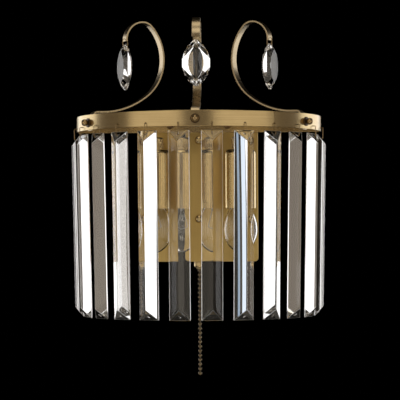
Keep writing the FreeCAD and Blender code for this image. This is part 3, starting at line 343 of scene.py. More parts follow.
BLACK_MOULDING = MouldedFinish("black_moulding", (0.025, 0.025, 0.025), (0.045, 0.043, 0.04), 0.45)
LEAD_SLEEVE = MouldedFinish("lead_sleeve", (0.62, 0.57, 0.47), (0.52, 0.47, 0.38), 0.5)
FLOOR_PAINT = MouldedFinish("floor_paint", (0.62, 0.61, 0.59), (0.58, 0.57, 0.55), 0.7, texture=8.0)


# --------------------------------------------------------------------------------- meshes
def mesh_of(name: str, build: bmesh.types.BMesh, smooth_below: float = 35.0) -> bpy.types.Mesh:
    """Finishes a mesh: one outward skin, smooth but for edges sharper than an angle.

    Args:
        name: The mesh's name.
        build: The bmesh, which is freed.
        smooth_below: Angle in degrees under which an edge is smooth.

    Returns:
        The new mesh.
    """
    bmesh.ops.remove_doubles(build, verts=build.verts, dist=MERGE)
    bmesh.ops.recalc_face_normals(build, faces=build.faces)
    mesh = bpy.data.meshes.new(name)
    build.to_mesh(mesh)
    build.free()
    shade(mesh, smooth_below)
    return mesh


def shade(mesh: bpy.types.Mesh, smooth_below: float) -> None:
    """Shades a mesh smooth, and keeps edges sharper than an angle in degrees."""
    mesh.shade_smooth()
    mesh.set_sharp_from_angle(angle=math.radians(smooth_below))


def joined(name: str, parts: Iterable[bpy.types.Mesh], smooth_below: float = 35.0) -> bpy.types.Mesh:
    """Joins meshes into one.

    Args:
        name: The new mesh's name.
        parts: The meshes, which are removed.
        smooth_below: Angle in degrees under which an edge is smooth.

    Returns:
        The joined mesh.
    """
    build = bmesh.new()
    for part in parts:
        build.from_mesh(part)
        bpy.data.meshes.remove(part)
    return mesh_of(name, build, smooth_below)


def turned(name: str, section: Section, centre: Vector, turn: Matrix | None = None,
           around: int = 64) -> bpy.types.Mesh:
    """A piece turned about its own Z, from its half section.

    Args:
        name: The mesh's name.
        section: Points of (radius, height) round the half section.
        centre: Where the section's origin goes.
        turn: Turn of the piece's axis, or None for upright.
        around: Steps round the axis.

    Returns:
        The closed mesh.
    """
    build = bmesh.new()
    where = Matrix.Translation(centre) @ (turn or Matrix.Identity(4))
    rows = []
    for step in range(around):
        angle = 2 * math.pi * step / around
        rows.append([build.verts.new(where @ Vector((r * math.cos(angle), r * math.sin(angle), z)))
                     for r, z in section])
    for here, there in zip(rows, rows[1:] + rows[:1]):
        for index in range(len(section)):
            after = (index + 1) % len(section)
            corners = [here[index], there[index], there[after], here[after]]
            if section[index][0] == section[after][0] == 0:
                continue
            build.faces.new(corners)
    bmesh.ops.dissolve_degenerate(build, edges=build.edges, dist=1e-7)
    return mesh_of(name, build)


def arc(x: float, y: float, radius: float, start: float, stop: float,
        steps: int = 8) -> list[tuple[float, float]]:
    """Draws an arc in a section.

    Args:
        x: The centre's first coordinate.
        y: The centre's second coordinate.
        radius: The arc's radius.
        start: Angle of its first point, in degrees.
        stop: Angle of its last point, in degrees.
        steps: How many runs it has.

    Returns:
        Its points.
    """
    angles = [math.radians(start + (stop - start) * step / steps) for step in range(steps + 1)]
    return [(x + radius * math.cos(a), y + radius * math.sin(a)) for a in angles]


def outward(angle: float = 0.0) -> Matrix:
    """A turn that points a piece's Z out of the ring, at an angle round it in degrees."""
    return Matrix.Rotation(math.radians(angle), 4, "Z") @ Matrix.Rotation(math.radians(90), 4, "X")


def sliced(build: bmesh.types.BMesh, point: Vector, way: Vector, ground: bool) -> None:
    """Cuts off what lies beyond a plane and closes the cut.

    Args:
        build: The solid.
        point: A point of the plane.
        way: The plane's normal, which points at what goes.
        ground: Whether the new face is marked as ground.
    """
    layer = build.faces.layers.float.get(GROUND) or build.faces.layers.float.new(GROUND)
    cut = bmesh.ops.bisect_plane(build, geom=[*build.verts, *build.edges, *build.faces],
                                 clear_outer=True, plane_co=point, plane_no=way)
    rim = [part for part in cut["geom_cut"] if isinstance(part, bmesh.types.BMEdge)]
    for part in bmesh.ops.triangle_fill(build, edges=rim, use_beauty=True)["geom"]:
        if isinstance(part, bmesh.types.BMFace):
            part[layer] = float(ground)
    bmesh.ops.dissolve_limit(build, angle_limit=math.radians(FLAT), verts=build.verts,
                             edges=build.edges)
    bmesh.ops.dissolve_degenerate(build, edges=build.edges, dist=CAD_MERGE)


def refined(node: str, bevel: float, segments: int = 2, smooth_below: float = 40.0,
            flat: float = 3.0) -> bpy.types.Mesh:
    """A copy of a CAD node with its triangles joined and its edges rounded.

    Args:
        node: The node's name.
        bevel: Width of the rounding in metres.
        segments: Steps of the rounding.
        smooth_below: Angle in degrees under which an edge is smooth.
        flat: Angle in degrees under which triangles join into one face.

    Returns:
        The new mesh.
    """
    build = bmesh.new()
    build.from_mesh(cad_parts[node].data)
    bmesh.ops.remove_doubles(build, verts=build.verts, dist=CAD_MERGE)
    mesh = rounded(node, build, bevel, segments, smooth_below, flat)
    mesh.materials.clear()
    return mesh


def rounded(name: str, build: bmesh.types.BMesh, bevel: float, segments: int,
            smooth_below: float, flat: float) -> bpy.types.Mesh:
    """Joins a solid's triangles into faces, rounds its edges and marks the roundings.

    Args:
        name: The mesh's name.
        build: The solid, whose doubles are merged. It is freed.
        bevel: Width of the rounding in metres, or 0 for none.
        segments: Steps of the rounding.
        smooth_below: Angle in degrees under which an edge is smooth.
        flat: Angle in degrees under which triangles join into one face.

    Returns:
        The new mesh.
    """
    bmesh.ops.dissolve_limit(build, angle_limit=math.radians(flat), verts=build.verts,
                             edges=build.edges)
    least = math.radians(max(smooth_below, BORE_FACET))
    sharp = [edge for edge in build.edges
             if len(edge.link_faces) == 2 and edge.calc_length() > 2 * bevel
             and edge.calc_face_angle() > least]
    if bevel:
        ground = build.faces.layers.float.new(GROUND)
        eased = bmesh.ops.bevel(build, geom=sharp, offset=bevel, segments=segments, profile=0.5,
                                affect="EDGES", clamp_overlap=True)
        for face in eased["faces"]:
            face[ground] = 1.0
    return mesh_of(name, build, smooth_below)


def piece(mesh: bpy.types.Mesh, finish: Finish, body: str,
          stands_for: Iterable[str] = (), smooth_normals: bool = False) -> bpy.types.Object:
    """Shows a mesh as a piece of the sconce.

    Args:
        mesh: The piece's mesh, in place.
        finish: Its finish.
        body: The body it moves with.
        stands_for: The CAD nodes that it replaces.
        smooth_normals: Whether flat faces keep their own shading beside roundings.

    Returns:
        The new object.
    """
    name = mesh.name.partition(".")[0]
    thing = bpy.data.objects.new(f"{name}_looks", mesh)
    bpy.context.scene.collection.objects.link(thing)
    mesh.materials.clear()
    mesh.materials.append(finish.material())
    if smooth_normals:
        thing.modifiers.new("weighted", "WEIGHTED_NORMAL").keep_sharp = True
    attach(thing, body)
    if stands_for:
        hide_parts(*stands_for)
    LOG.info("%s: %d faces on %s", thing.name, len(mesh.polygons), body)
    return thing


def dress(finish: Finish, *nodes: str) -> None:
    """Gives a finish to CAD nodes that are shown as they are.

    Args:
        finish: The finish.
        nodes: The nodes' names.
    """
    for node in nodes:
        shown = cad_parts[node]
        if not shown.material_slots:
            shown.data.materials.append(finish.material())
        for material_slot in shown.material_slots:
            material_slot.material = finish.material()
        LOG.info("%s: kept, in %s", node, finish.name)


# ------------------------------------------------------------------------- geometry nodes
class Grower:
    """A Geometry Nodes tree with named inputs, grown into plain meshes."""

    KINDS = {float: "NodeSocketFloat", int: "NodeSocketInt", Vector: "NodeSocketVector",
             bpy.types.Object: "NodeSocketObject", bpy.types.Material: "NodeSocketMaterial"}

    def __init__(self, inputs: dict[str, type],
                 wire: Callable[[Graph, Given], bpy.types.NodeSocket]) -> None:
        """Builds the tree.

        Args:
            inputs: Each input's name and kind.
            wire: Wires the tree, which takes its name. It gets the tree and a function that
                gives an input's socket, and returns the socket of the shape.
        """
        self.tree = bpy.data.node_groups.new(wire.__name__, "GeometryNodeTree")
        face = self.tree.interface
        face.new_socket("Geometry", in_out="OUTPUT", socket_type="NodeSocketGeometry")
        self.sockets = {}
        for label, kind in {**inputs, "Finish": bpy.types.Material}.items():
            made = face.new_socket(label, in_out="INPUT", socket_type=self.KINDS[kind])
            self.sockets[label] = made.identifier
        graph = Graph(self.tree)
        entry, leave = graph.add("NodeGroupInput"), graph.add("NodeGroupOutput")
        shape = wire(graph, lambda label: entry.outputs[label])
        solid = graph.add("GeometryNodeRealizeInstances", {"Geometry": shape})
        dressed = graph.add("GeometryNodeSetMaterial", {"Geometry": solid.outputs[0],
                                                        "Material": entry.outputs["Finish"]})
        self.tree.links.new(dressed.outputs[0], leave.inputs[0])

    def grow(self, name: str, finish: Finish, smooth_below: float = 35.0,
             **inputs: object) -> bpy.types.Mesh:
        """Runs the tree and keeps its result.

        Args:
            name: The mesh's name.
            finish: The finish that the tree sets.
            smooth_below: Angle in degrees under which an edge is smooth.
            inputs: Values of the named inputs, with _ for a space.

        Returns:
            The plain mesh.
        """
        seed = bpy.data.objects.new(f"{name}_seed", bpy.data.meshes.new(f"{name}_seed"))
        bpy.context.scene.collection.objects.link(seed)
        modifier = seed.modifiers.new(name, "NODES")
        modifier.node_group = self.tree
        modifier[self.sockets["Finish"]] = finish.material()
        for label, setting in inputs.items():
            modifier[self.sockets[label.replace("_", " ")]] = setting
        graph = bpy.context.evaluated_depsgraph_get()
        mesh = bpy.data.meshes.new_from_object(seed.evaluated_get(graph))
        seed.modifiers.remove(modifier)
        bpy.data.objects.remove(seed)
        build = bmesh.new()
        build.from_mesh(mesh)
        grown = mesh_of(name, build, smooth_below)
        bpy.data.meshes.remove(mesh)
        return grown


def wire_loop(graph: Graph, given: Given) -> bpy.types.NodeSocket:
    """A closed wire link with round corners, stood up in the radial plane of the ring.

    Args:
        graph: The tree.
        given: Gives the socket of a named input.

    Returns:
        The shape.
    """
    loop = graph.add("GeometryNodeCurvePrimitiveQuadrilateral",
                     {"Width": given("Width"), "Height": given("Height")})
    soft = graph.add("GeometryNodeFilletCurve", {"Curve": loop.outputs[0], "Radius": given("Corner"),
                                                 "Count": 6, "Limit Radius": True}, mode="POLY")
    round_wire = graph.add("GeometryNodeCurvePrimitiveCircle", {"Resolution": 12,
                                                                "Radius": given("Wire Radius")})
    tube = graph.add("GeometryNodeCurveToMesh", {"Curve": soft.outputs[0],
                                                 "Profile Curve": round_wire.outputs[0]})
    upright = graph.add("GeometryNodeTransform", {
        "Geometry": tube.outputs[0], "Rotation": (math.radians(90), 0.0, math.radians(90))})
    turn = graph.add("ShaderNodeCombineXYZ", {"X": given("Lean"), "Z": given("Angle")})
    return graph.add("GeometryNodeTransform", {"Geometry": upright.outputs[0],
                                               "Rotation": turn.outputs[0],
                                               "Translation": given("Place")}).outputs[0]


def hang_piece(graph: Graph, given: Given) -> bpy.types.NodeSocket:
    """A cut piece of glass, tilted by its lean, turned to its angle and hung at its place.

    Args:
        graph: The tree.
        given: Gives the socket of a named input.

    Returns:
        The shape.
    """
    cut = graph.add("GeometryNodeObjectInfo", {"Object": given("Cut Piece"), "As Instance": False})
    spot = graph.add("GeometryNodePoints", {"Count": 1, "Position": given("Place")})
    turn = graph.add("ShaderNodeCombineXYZ", {"X": given("Lean"), "Z": given("Angle")})
    return graph.add("GeometryNodeInstanceOnPoints", {
        "Points": spot.outputs[0], "Instance": cut.outputs["Geometry"],
        "Rotation": turn.outputs[0]}).outputs[0]


def bead_row(graph: Graph, given: Given) -> bpy.types.NodeSocket:
    """Beads in an upright row, on short wires that show between them.

    Args:
        graph: The tree.
        given: Gives the socket of a named input.

    Returns:
        The shape.
    """
    step = graph.add("ShaderNodeCombineXYZ", {"Z": given("Pitch")})
    row = graph.add("GeometryNodeMeshLine", {"Count": given("Count"), "Start Location": given("Place"),
                                             "Offset": step.outputs[0]}, mode="OFFSET")
    bead = graph.add("GeometryNodeMeshUVSphere", {"Segments": 24, "Rings": 14,
                                                  "Radius": given("Bead Radius")})
    beads = graph.add("GeometryNodeInstanceOnPoints", {"Points": row.outputs[0],
                                                       "Instance": bead.outputs[0]})
    collar = graph.add("GeometryNodeMeshCylinder", {
        "Vertices": 20, "Radius": given("Collar Radius"), "Depth": given("Collar Height")})
    collars = graph.add("GeometryNodeInstanceOnPoints", {"Points": row.outputs[0],
                                                         "Instance": collar.outputs[0]})
    thread = graph.add("GeometryNodeCurvePrimitiveCircle", {"Resolution": 10,
                                                            "Radius": given("Wire Radius")})
    line = graph.add("GeometryNodeMeshToCurve", {"Mesh": row.outputs[0]})
    wire = graph.add("GeometryNodeCurveToMesh", {"Curve": line.outputs[0], "Fill Caps": True,
                                                 "Profile Curve": thread.outputs[0]})
    whole = graph.add("GeometryNodeJoinGeometry")
    for part in (wire, collars, beads):
        graph.tree.links.new(part.outputs[0], whole.inputs[0])
    return whole.outputs[0]


def strip_along(graph: Graph, given: Given) -> bpy.types.NodeSocket:
    """A flat strip with eased edges, which follows a line and is then turned and placed.

    Args:
        graph: The tree.
        given: Gives the socket of a named input.

    Returns:
        The shape.
    """
    line = graph.add("GeometryNodeObjectInfo", {"Object": given("Line"), "As Instance": False})
    stock = graph.add("GeometryNodeCurvePrimitiveQuadrilateral",
                      {"Width": given("Width"), "Height": given("Thickness")})
    eased = graph.add("GeometryNodeFilletCurve", {"Curve": stock.outputs[0], "Radius": given("Easing"),
                                                  "Count": 2, "Limit Radius": True}, mode="POLY")
    strip = graph.add("GeometryNodeCurveToMesh", {"Curve": line.outputs["Geometry"],
                                                  "Profile Curve": eased.outputs[0],
                                                  "Fill Caps": True})
    turn = graph.add("ShaderNodeCombineXYZ", {"Z": given("Angle")})
    return graph.add("GeometryNodeTransform", {"Geometry": strip.outputs[0],
                                               "Rotation": turn.outputs[0],
                                               "Translation": given("Place")}).outputs[0]


def fluted(graph: Graph, given: Given) -> bpy.types.NodeSocket:
    """A turned piece whose side is pressed in along upright flutes between two heights.

    Args:
        graph: The tree.
        given: Gives the socket of a named input.

    Returns:
        The shape.
    """
    blank = graph.add("GeometryNodeObjectInfo", {"Object": given("Blank"), "As Instance": False})
    place = graph.add("GeometryNodeInputPosition").outputs[0]
    xyz = graph.add("ShaderNodeSeparateXYZ", {0: place}).outputs
    around = graph.math("ARCTAN2", xyz["Y"], xyz["X"])
    wave = graph.math("COSINE", graph.math("MULTIPLY", around, given("Flutes")))
    groove = graph.math("POWER", graph.math("MULTIPLY_ADD", wave, 0.5, 0.5), 1.6)
    fade = graph.add("ShaderNodeMapRange", {"Value": xyz["Z"], "From Min": given("Top"),
                                            "From Max": given("Fade")}, interpolation_type="SMOOTHSTEP")
    outer = graph.math("GREATER_THAN", graph.math("SQRT", graph.math(
        "ADD", graph.math("MULTIPLY", xyz["X"], xyz["X"]),
        graph.math("MULTIPLY", xyz["Y"], xyz["Y"]))), given("Inner Radius"))
    press = graph.math("MULTIPLY", graph.math("MULTIPLY", groove, fade.outputs[0]), outer)
    depth = graph.math("MULTIPLY", press, given("Depth"))
    flat = graph.add("ShaderNodeVectorMath", {0: place, 1: (1.0, 1.0, 0.0)}, operation="MULTIPLY")
    way = graph.add("ShaderNodeVectorMath", {0: flat.outputs[0]}, operation="NORMALIZE")
    inward = graph.add("ShaderNodeVectorMath", {0: way.outputs[0]}, operation="SCALE")
    graph.tree.links.new(graph.math("MULTIPLY", depth, -1.0), inward.inputs["Scale"])
    pressed = graph.add("GeometryNodeSetPosition", {"Geometry": blank.outputs["Geometry"],
                                                    "Offset": inward.outputs[0]})
    return graph.add("GeometryNodeTransform", {"Geometry": pressed.outputs[0],
                                               "Translation": given("Place")}).outputs[0]


def hidden_source(name: str, data: bpy.types.ID) -> bpy.types.Object:
    """An object that only a tree reads, out of the scene."""
    return bpy.data.objects.new(name, data)


def poly_line(name: str, points: Iterable[Vector]) -> bpy.types.Object:
    """Draws a line of straight runs, for a tree to read.

    Args:
        name: The line's name.
        points: The points that it joins.

    Returns:
        The line, out of the scene.
    """
    path = list(points)
    curve = bpy.data.curves.new(name, "CURVE")
    curve.dimensions = "3D"
    spline = curve.splines.new("POLY")
    spline.points.add(len(path) - 1)
    for point, place in zip(spline.points, path):
        point.co = (*place, 1.0)
    return hidden_source(name, curve)


# --------------------------------------------------------------------------- sub-assemblies
@dataclass
class RingFrame:
    """The half ring, its back bar and the screws that hold both to the pan."""

    radius: float = 136.5 * MM
    wall: float = 1.6 * MM
    pan_depth: float = 22.0 * MM
    easing: float = 0.3 * MM
    screw_easing: float = 0.15 * MM

    def place(self, radius: float, angle: float, height: float) -> Vector:
        """A point of the half ring.

        Args:
            radius: Distance from the ring's axis.
            angle: Angle round the ring in degrees, from its middle.
            height: Height above the origin.

        Returns:
            The point.
        """
        turn = math.radians(angle)
        return Vector((radius * math.sin(turn), -self.pan_depth - radius * math.cos(turn), height))

    @property
    def middle(self) -> float:
        """Radius of the strip's middle."""
        return self.radius - self.wall / 2

    def build(self) -> None:
        """Shows the strip, the bar and the screws."""
        strip = refined("ring_band", self.easing, flat=1.0)
        piece(strip, BRASS_RING, "root", ["ring_band"], smooth_normals=True)
        bar = refined("back_bar", self.easing)
        piece(bar, BRASS_RING, "root", ["back_bar"], smooth_normals=True)
        screws = refined("frame_screws", self.screw_easing)
        piece(screws, BRONZE, "root", ["frame_screws"])
        dress(ZINC, "frame_nuts")


@dataclass
class WallPan:
    """The pan on the wall, the crossbar behind it and the nuts that hold it."""

    easing: float = 0.25 * MM
    ball: float = 9.5 * MM
    cut_latitude: float = 60.0
    stud_spacing: float = 88.0 * MM
    pan_depth: float = 22.0 * MM
    stud_reach: float = 5.0 * MM
    thread: float = 4.1 * MM
    groove: float = 0.35 * MM

    def build(self) -> None:
        """Shows the pan, the crossbar, the studs and the nuts."""
        pan = refined("backplate", 0.0, smooth_below=35.0, flat=1.0)
        piece(pan, BRASS_PLATE, "root", ["backplate"], smooth_normals=True)
        bar = refined("wall_crossbar", self.easing)
        piece(bar, ZINC, "root", ["wall_crossbar"], smooth_normals=True)
        dress(ZINC, "crossbar_studs", "stud_lock_nuts")
        self.ball_nuts()

    def ball_nuts(self) -> None:
        """Shows the two ball nuts as one piece, with a turned foot and a bore for the stud."""
        radius, cut = self.ball / 2, math.radians(self.cut_latitude)
        foot = radius * math.cos(cut)
        lift = radius * math.sin(cut)
        bore = self.thread / 2
        section = [(bore, 0.0), (foot, 0.0),
                   *arc(0.0, lift, radius, -self.cut_latitude, 90.0, 20)[1:],
                   (0.0, self.stud_reach + self.groove), (bore, self.stud_reach + self.groove)]
        nuts = [turned("ball_nut", section,
                       Vector((0.0, -self.pan_depth, side * self.stud_spacing / 2)), outward(), 48)
                for side in (-1, 1)]
        piece(joined("ball_cap_nuts", nuts), BRASS_TURNED, "root",
              ["ball_cap_nuts"])


@dataclass
class ScrollStraps:
    """Three strips that climb from the ring and curl over, and the screws that hold them.

    The strip climbs inside the ring, slopes inwards over its top, runs flat and then turns
    through three quarters of a circle in tangent arcs of the given radii and sweeps.
    """

    ring: RingFrame
    width: float = 9.0 * MM
    wall: float = 2.0 * MM
    foot: float = 51.8 * MM
    run: float = 72.4 * MM
    shoulder: float = 4.0 * MM
    lean: float = 40.0
    slope: float = 4.3 * MM
    flat: float = 3.9 * MM
    radii: tuple[float, ...] = (93.6 * MM, 51.1 * MM, 14.0 * MM, 20.5 * MM)
    sweeps: tuple[float, ...] = (38.1, 96.9, 43.4)
    tip: float = 1.2 * MM
    easing: float = 0.35 * MM
    step: float = 3.0
    screw_height: float = 60.5 * MM
    screw_shank: float = 3.5 * MM
    flange: float = 10.0 * MM
    flange_wall: float = 1.0 * MM
    flange_easing: float = 0.3 * MM
    flange_gap: float = 0.05 * MM
    ball: float = 7.5 * MM
    ball_sink: float = 0.5 * MM
    nut_height: float = 3.2 * MM
    spare: float = 0.3 * MM

    @property
    def tab_radius(self) -> float:
        """Radius of the strip's middle where it lies inside the ring."""
        inside = self.ring.radius - self.ring.wall
        return math.sqrt(inside ** 2 - (self.width / 2) ** 2) - self.wall / 2

    def line(self) -> list[Vector]:
        """Draws the strip's middle line in the plane x = 0.

        Returns:
            Its points, from its foot to its tip.
        """
        at, heading = Vector((0.0, -self.tab_radius, self.foot)), math.pi / 2
        points = [at.copy()]

        def ahead(length: float) -> None:
            """Runs the line straight on."""
            at.y += length * math.cos(heading)
            at.z += length * math.sin(heading)
            points.append(at.copy())

        def bend(radius: float, sweep: float) -> None:
            """Bends the line on an arc of a radius, by a sweep in degrees.

            Args:
                radius: The arc's radius.
                sweep: The turn in degrees, where above 0 turns +Y towards +Z.
            """
            nonlocal heading
            steps = max(2, math.ceil(abs(sweep) / self.step))
            side = math.copysign(1, sweep)
            centre = at + Vector((0, -math.sin(heading), math.cos(heading))) * radius * side
            start = heading - side * math.pi / 2
            for number in range(1, steps + 1):
                angle = start + math.radians(sweep) * number / steps
                at.y = centre.y + radius * math.cos(angle)
                at.z = centre.z + radius * math.sin(angle)
                points.append(at.copy())
            heading += math.radians(sweep)

        rise = self.shoulder + self.slope * math.cos(math.radians(self.lean))
        ahead(self.run - rise - self.foot)
        bend(self.shoulder, -self.lean)
        ahead(self.slope)
        bend(self.shoulder, self.lean - 90)
        ahead(self.flat)
        for radius, sweep in zip(self.radii, (*self.sweeps, 270 - sum(self.sweeps))):
            bend(radius, sweep)
        ahead(self.tip)
        return points

    def build(self) -> None:
        """Shows the straps and their screws."""
        bent = Grower({"Line": bpy.types.Object, "Width": float, "Thickness": float,
                       "Easing": float, "Angle": float, "Place": Vector}, strip_along)
        path = poly_line("scroll_line", self.line())
        for scroll in Scroll:
            name = f"scroll_strap_{scroll.tag}"
            strap = bent.grow(name, BRASS_STRAP, Line=path, Width=self.width,
                              Thickness=self.wall, Easing=self.easing,
                              Angle=math.radians(scroll.value),
                              Place=Vector((0.0, -self.ring.pan_depth, 0.0)))
            piece(strap, BRASS_STRAP, "root", [name], smooth_normals=True)
        self.screws()
        dress(ZINC, "scroll_nuts")

    def screws(self) -> None:
        """Shows the three ball headed screws as one piece, and their flanges, near-black with painted
        shade, as another.
        """
        depth = self.ring.wall + self.wall + self.nut_height + self.spare
        ball, rim = self.ball / 2, self.flange / 2
        centre = self.flange_wall + ball - self.ball_sink
        start = -math.degrees(math.asin((centre - self.flange_wall) / ball))
        section = [(0.0, -depth), (self.screw_shank / 2, -depth),
                   (self.screw_shank / 2, self.flange_wall), *arc(0.0, centre, ball, start, 90.0, 18)]
        hole, soft = self.screw_shank / 2 + self.flange_gap, self.flange_easing
        ring = [(hole, 0.0), (rim, 0.0), *arc(rim - soft, self.flange_wall - soft, soft, 0, 90, 3),
                (hole, self.flange_wall)]
        screws, flanges = [], []
        for scroll in Scroll:
            place = self.ring.place(self.ring.radius, scroll.value, self.screw_height)
            for half, parts in ((section, screws), (ring, flanges)):
                parts.append(turned("ball_screw", half, place, outward(scroll.value), 40))
        piece(joined("scroll_ball_screws", screws), BRONZE_BALL, "root",
              ["scroll_ball_screws"])
        # the flanges' near-black colour is painted shade and painted dark reflection round the balls
        piece(joined("scroll_screw_flanges", flanges), FLANGE_PAINTED_SHADE, "root")


@dataclass
class Curtain:
    """The prism bars round the half ring, each with the wire link it hangs on."""

    ring: RingFrame
    count: int = 12
    top: float = 48.4 * MM
    inset: float = 2.3 * MM
    easing: float = 0.38 * MM
    bar_length: float = 200.0 * MM
    bar_width: float = 22.5 * MM
    bar_depth: float = 9.5 * MM
    bar_land: float = 1.0 * MM
    bar_bevel: float = 11.0 * MM
    hole_height: float = 44.2 * MM
    hook_height: float = 56.4 * MM
    link_width: float = 7.4 * MM
    link_corner: float = 1.4 * MM
    link_wire: float = 0.8 * MM
    lean: float = 1.15
    cut_angle: float = 1.0

    def angle(self, number: int) -> float:
        """The angle round the ring, in degrees, of a bar counted from 1 at the left."""
        return (number - self.count / 2 - 0.5) * 180 / self.count

    def hung(self, number: int, inwards: float, below: float) -> Vector:
        """Where a point of a leaning bar is.

        Args:
            number: The bar, counted from 1 at the left.
            inwards: How far the point is inside the strip's middle, on an upright bar.
            below: How far it is below the hook hole, on an upright bar.

        Returns:
            The point's place on the bar as it hangs, with its foot inwards.
        """
        cos, sin = math.cos(math.radians(self.lean)), math.sin(math.radians(self.lean))
        radius = self.ring.middle - inwards * cos - below * sin
        return self.ring.place(radius, self.angle(number), self.hook_height + inwards * sin - below * cos)

    def cut_bar(self) -> bpy.types.Object:
        """Cuts one bar, with its back's top middle at the origin and its ridge to -Y.

        Its ends are bevelled further than the CAD bar's, and its edges are ground.

        Returns:
            The bar, out of the scene.
        """
        build = bmesh.new()
        build.from_mesh(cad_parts["prism_bar_01"].data)
        turn = Matrix.Rotation(math.radians(self.angle(1)), 4, "Z")
        tilt = Matrix.Rotation(math.radians(self.lean), 4, "X")
        place = Matrix.Translation(self.hung(1, self.inset, self.hook_height - self.top))
        build.transform((place @ turn @ tilt).inverted())
        bmesh.ops.remove_doubles(build, verts=build.verts, dist=CAD_MERGE)
        rise = self.bar_depth - self.bar_land
        half, land = self.bar_width / 2, -self.bar_land
        back = Vector((0.0, 1.0, 0.0))
        ends = ((Vector((0.0, 0.0, 1.0)), 0.0), (Vector((0.0, 0.0, -1.0)), -self.bar_length))
        edges = []
        for end, height in ends:
            bevel = Vector((0.0, -self.bar_bevel, rise * end.z)).normalized()
            sliced(build, Vector((0.0, land, height)), bevel, False)
            edges += [((0.0, 0.0, height), back, end), ((0.0, land, height), end, bevel)]
            for way in (-1.0, 1.0):
                facet = Vector((way * rise, -half, 0.0)).normalized()
                apex = (0.0, -self.bar_depth, height - end.z * self.bar_bevel)
                edges += [((way * half, 0.0, height), Vector((way, 0.0, 0.0)), end),
                          (apex, facet, bevel)]
        for way in (-1.0, 1.0):
            side, facet = Vector((way, 0.0, 0.0)), Vector((way * rise, -half, 0.0)).normalized()
            edges += [((way * half, 0.0, 0.0), back, side), ((way * half, land, 0.0), side, facet)]
        for point, first, second in edges:
            way = (first + second).normalized()
            sink = self.easing * math.sin(first.angle(second) / 2)
            sliced(build, Vector(point) - way * sink, way, True)
        mesh = rounded("cut_bar", build, 0.0, 1, self.cut_angle, FLAT)
        return hidden_source("cut_bar", mesh)

    def build(self) -> None:
        """Shows the bars and the links."""
        hang = Grower({"Cut Piece": bpy.types.Object, "Angle": float, "Lean": float,
                       "Place": Vector}, hang_piece)
        loop = Grower({"Width": float, "Height": float, "Corner": float, "Wire Radius": float,
                       "Angle": float, "Lean": float, "Place": Vector}, wire_loop)
        bar = self.cut_bar()
        link_height = self.hook_height - self.hole_height
        for number in range(1, self.count + 1):
            turn = {"Angle": math.radians(self.angle(number)), "Lean": math.radians(self.lean)}
            body = f"hanging_bar_{number:02d}"
            name = f"prism_bar_{number:02d}"
            glass = hang.grow(name, CRYSTAL, self.cut_angle, Cut_Piece=bar, **turn,
                              Place=self.hung(number, self.inset, self.hook_height - self.top))
            piece(glass, CRYSTAL, body, [name])
            name = f"hook_link_{number:02d}"
            link = loop.grow(name, BRASS_WIRE, 60.0, Width=self.link_width, Height=link_height,
                             Corner=self.link_corner, Wire_Radius=self.link_wire / 2, **turn,
                             Place=self.hung(number, 0.0, link_height / 2))
            piece(link, BRASS_WIRE, body, [name])


@dataclass
class Drops:
    """The three faceted drops on their links."""

    easing: float = 0.12 * MM

    def build(self) -> None:
        """Shows the drops and their links."""
        for scroll in Scroll:
            body = f"hanging_drop_{scroll.tag}"
            name = f"crystal_drop_{scroll.tag}"
            stone = refined(name, self.easing, segments=1, smooth_below=8.0, flat=1.0)
            piece(stone, CRYSTAL_DROP, body, [name])
            name = f"drop_link_{scroll.tag}"
            piece(refined(name, 0.0, smooth_below=60.0, flat=0.1), BRASS_WIRE, body,
                  [name])


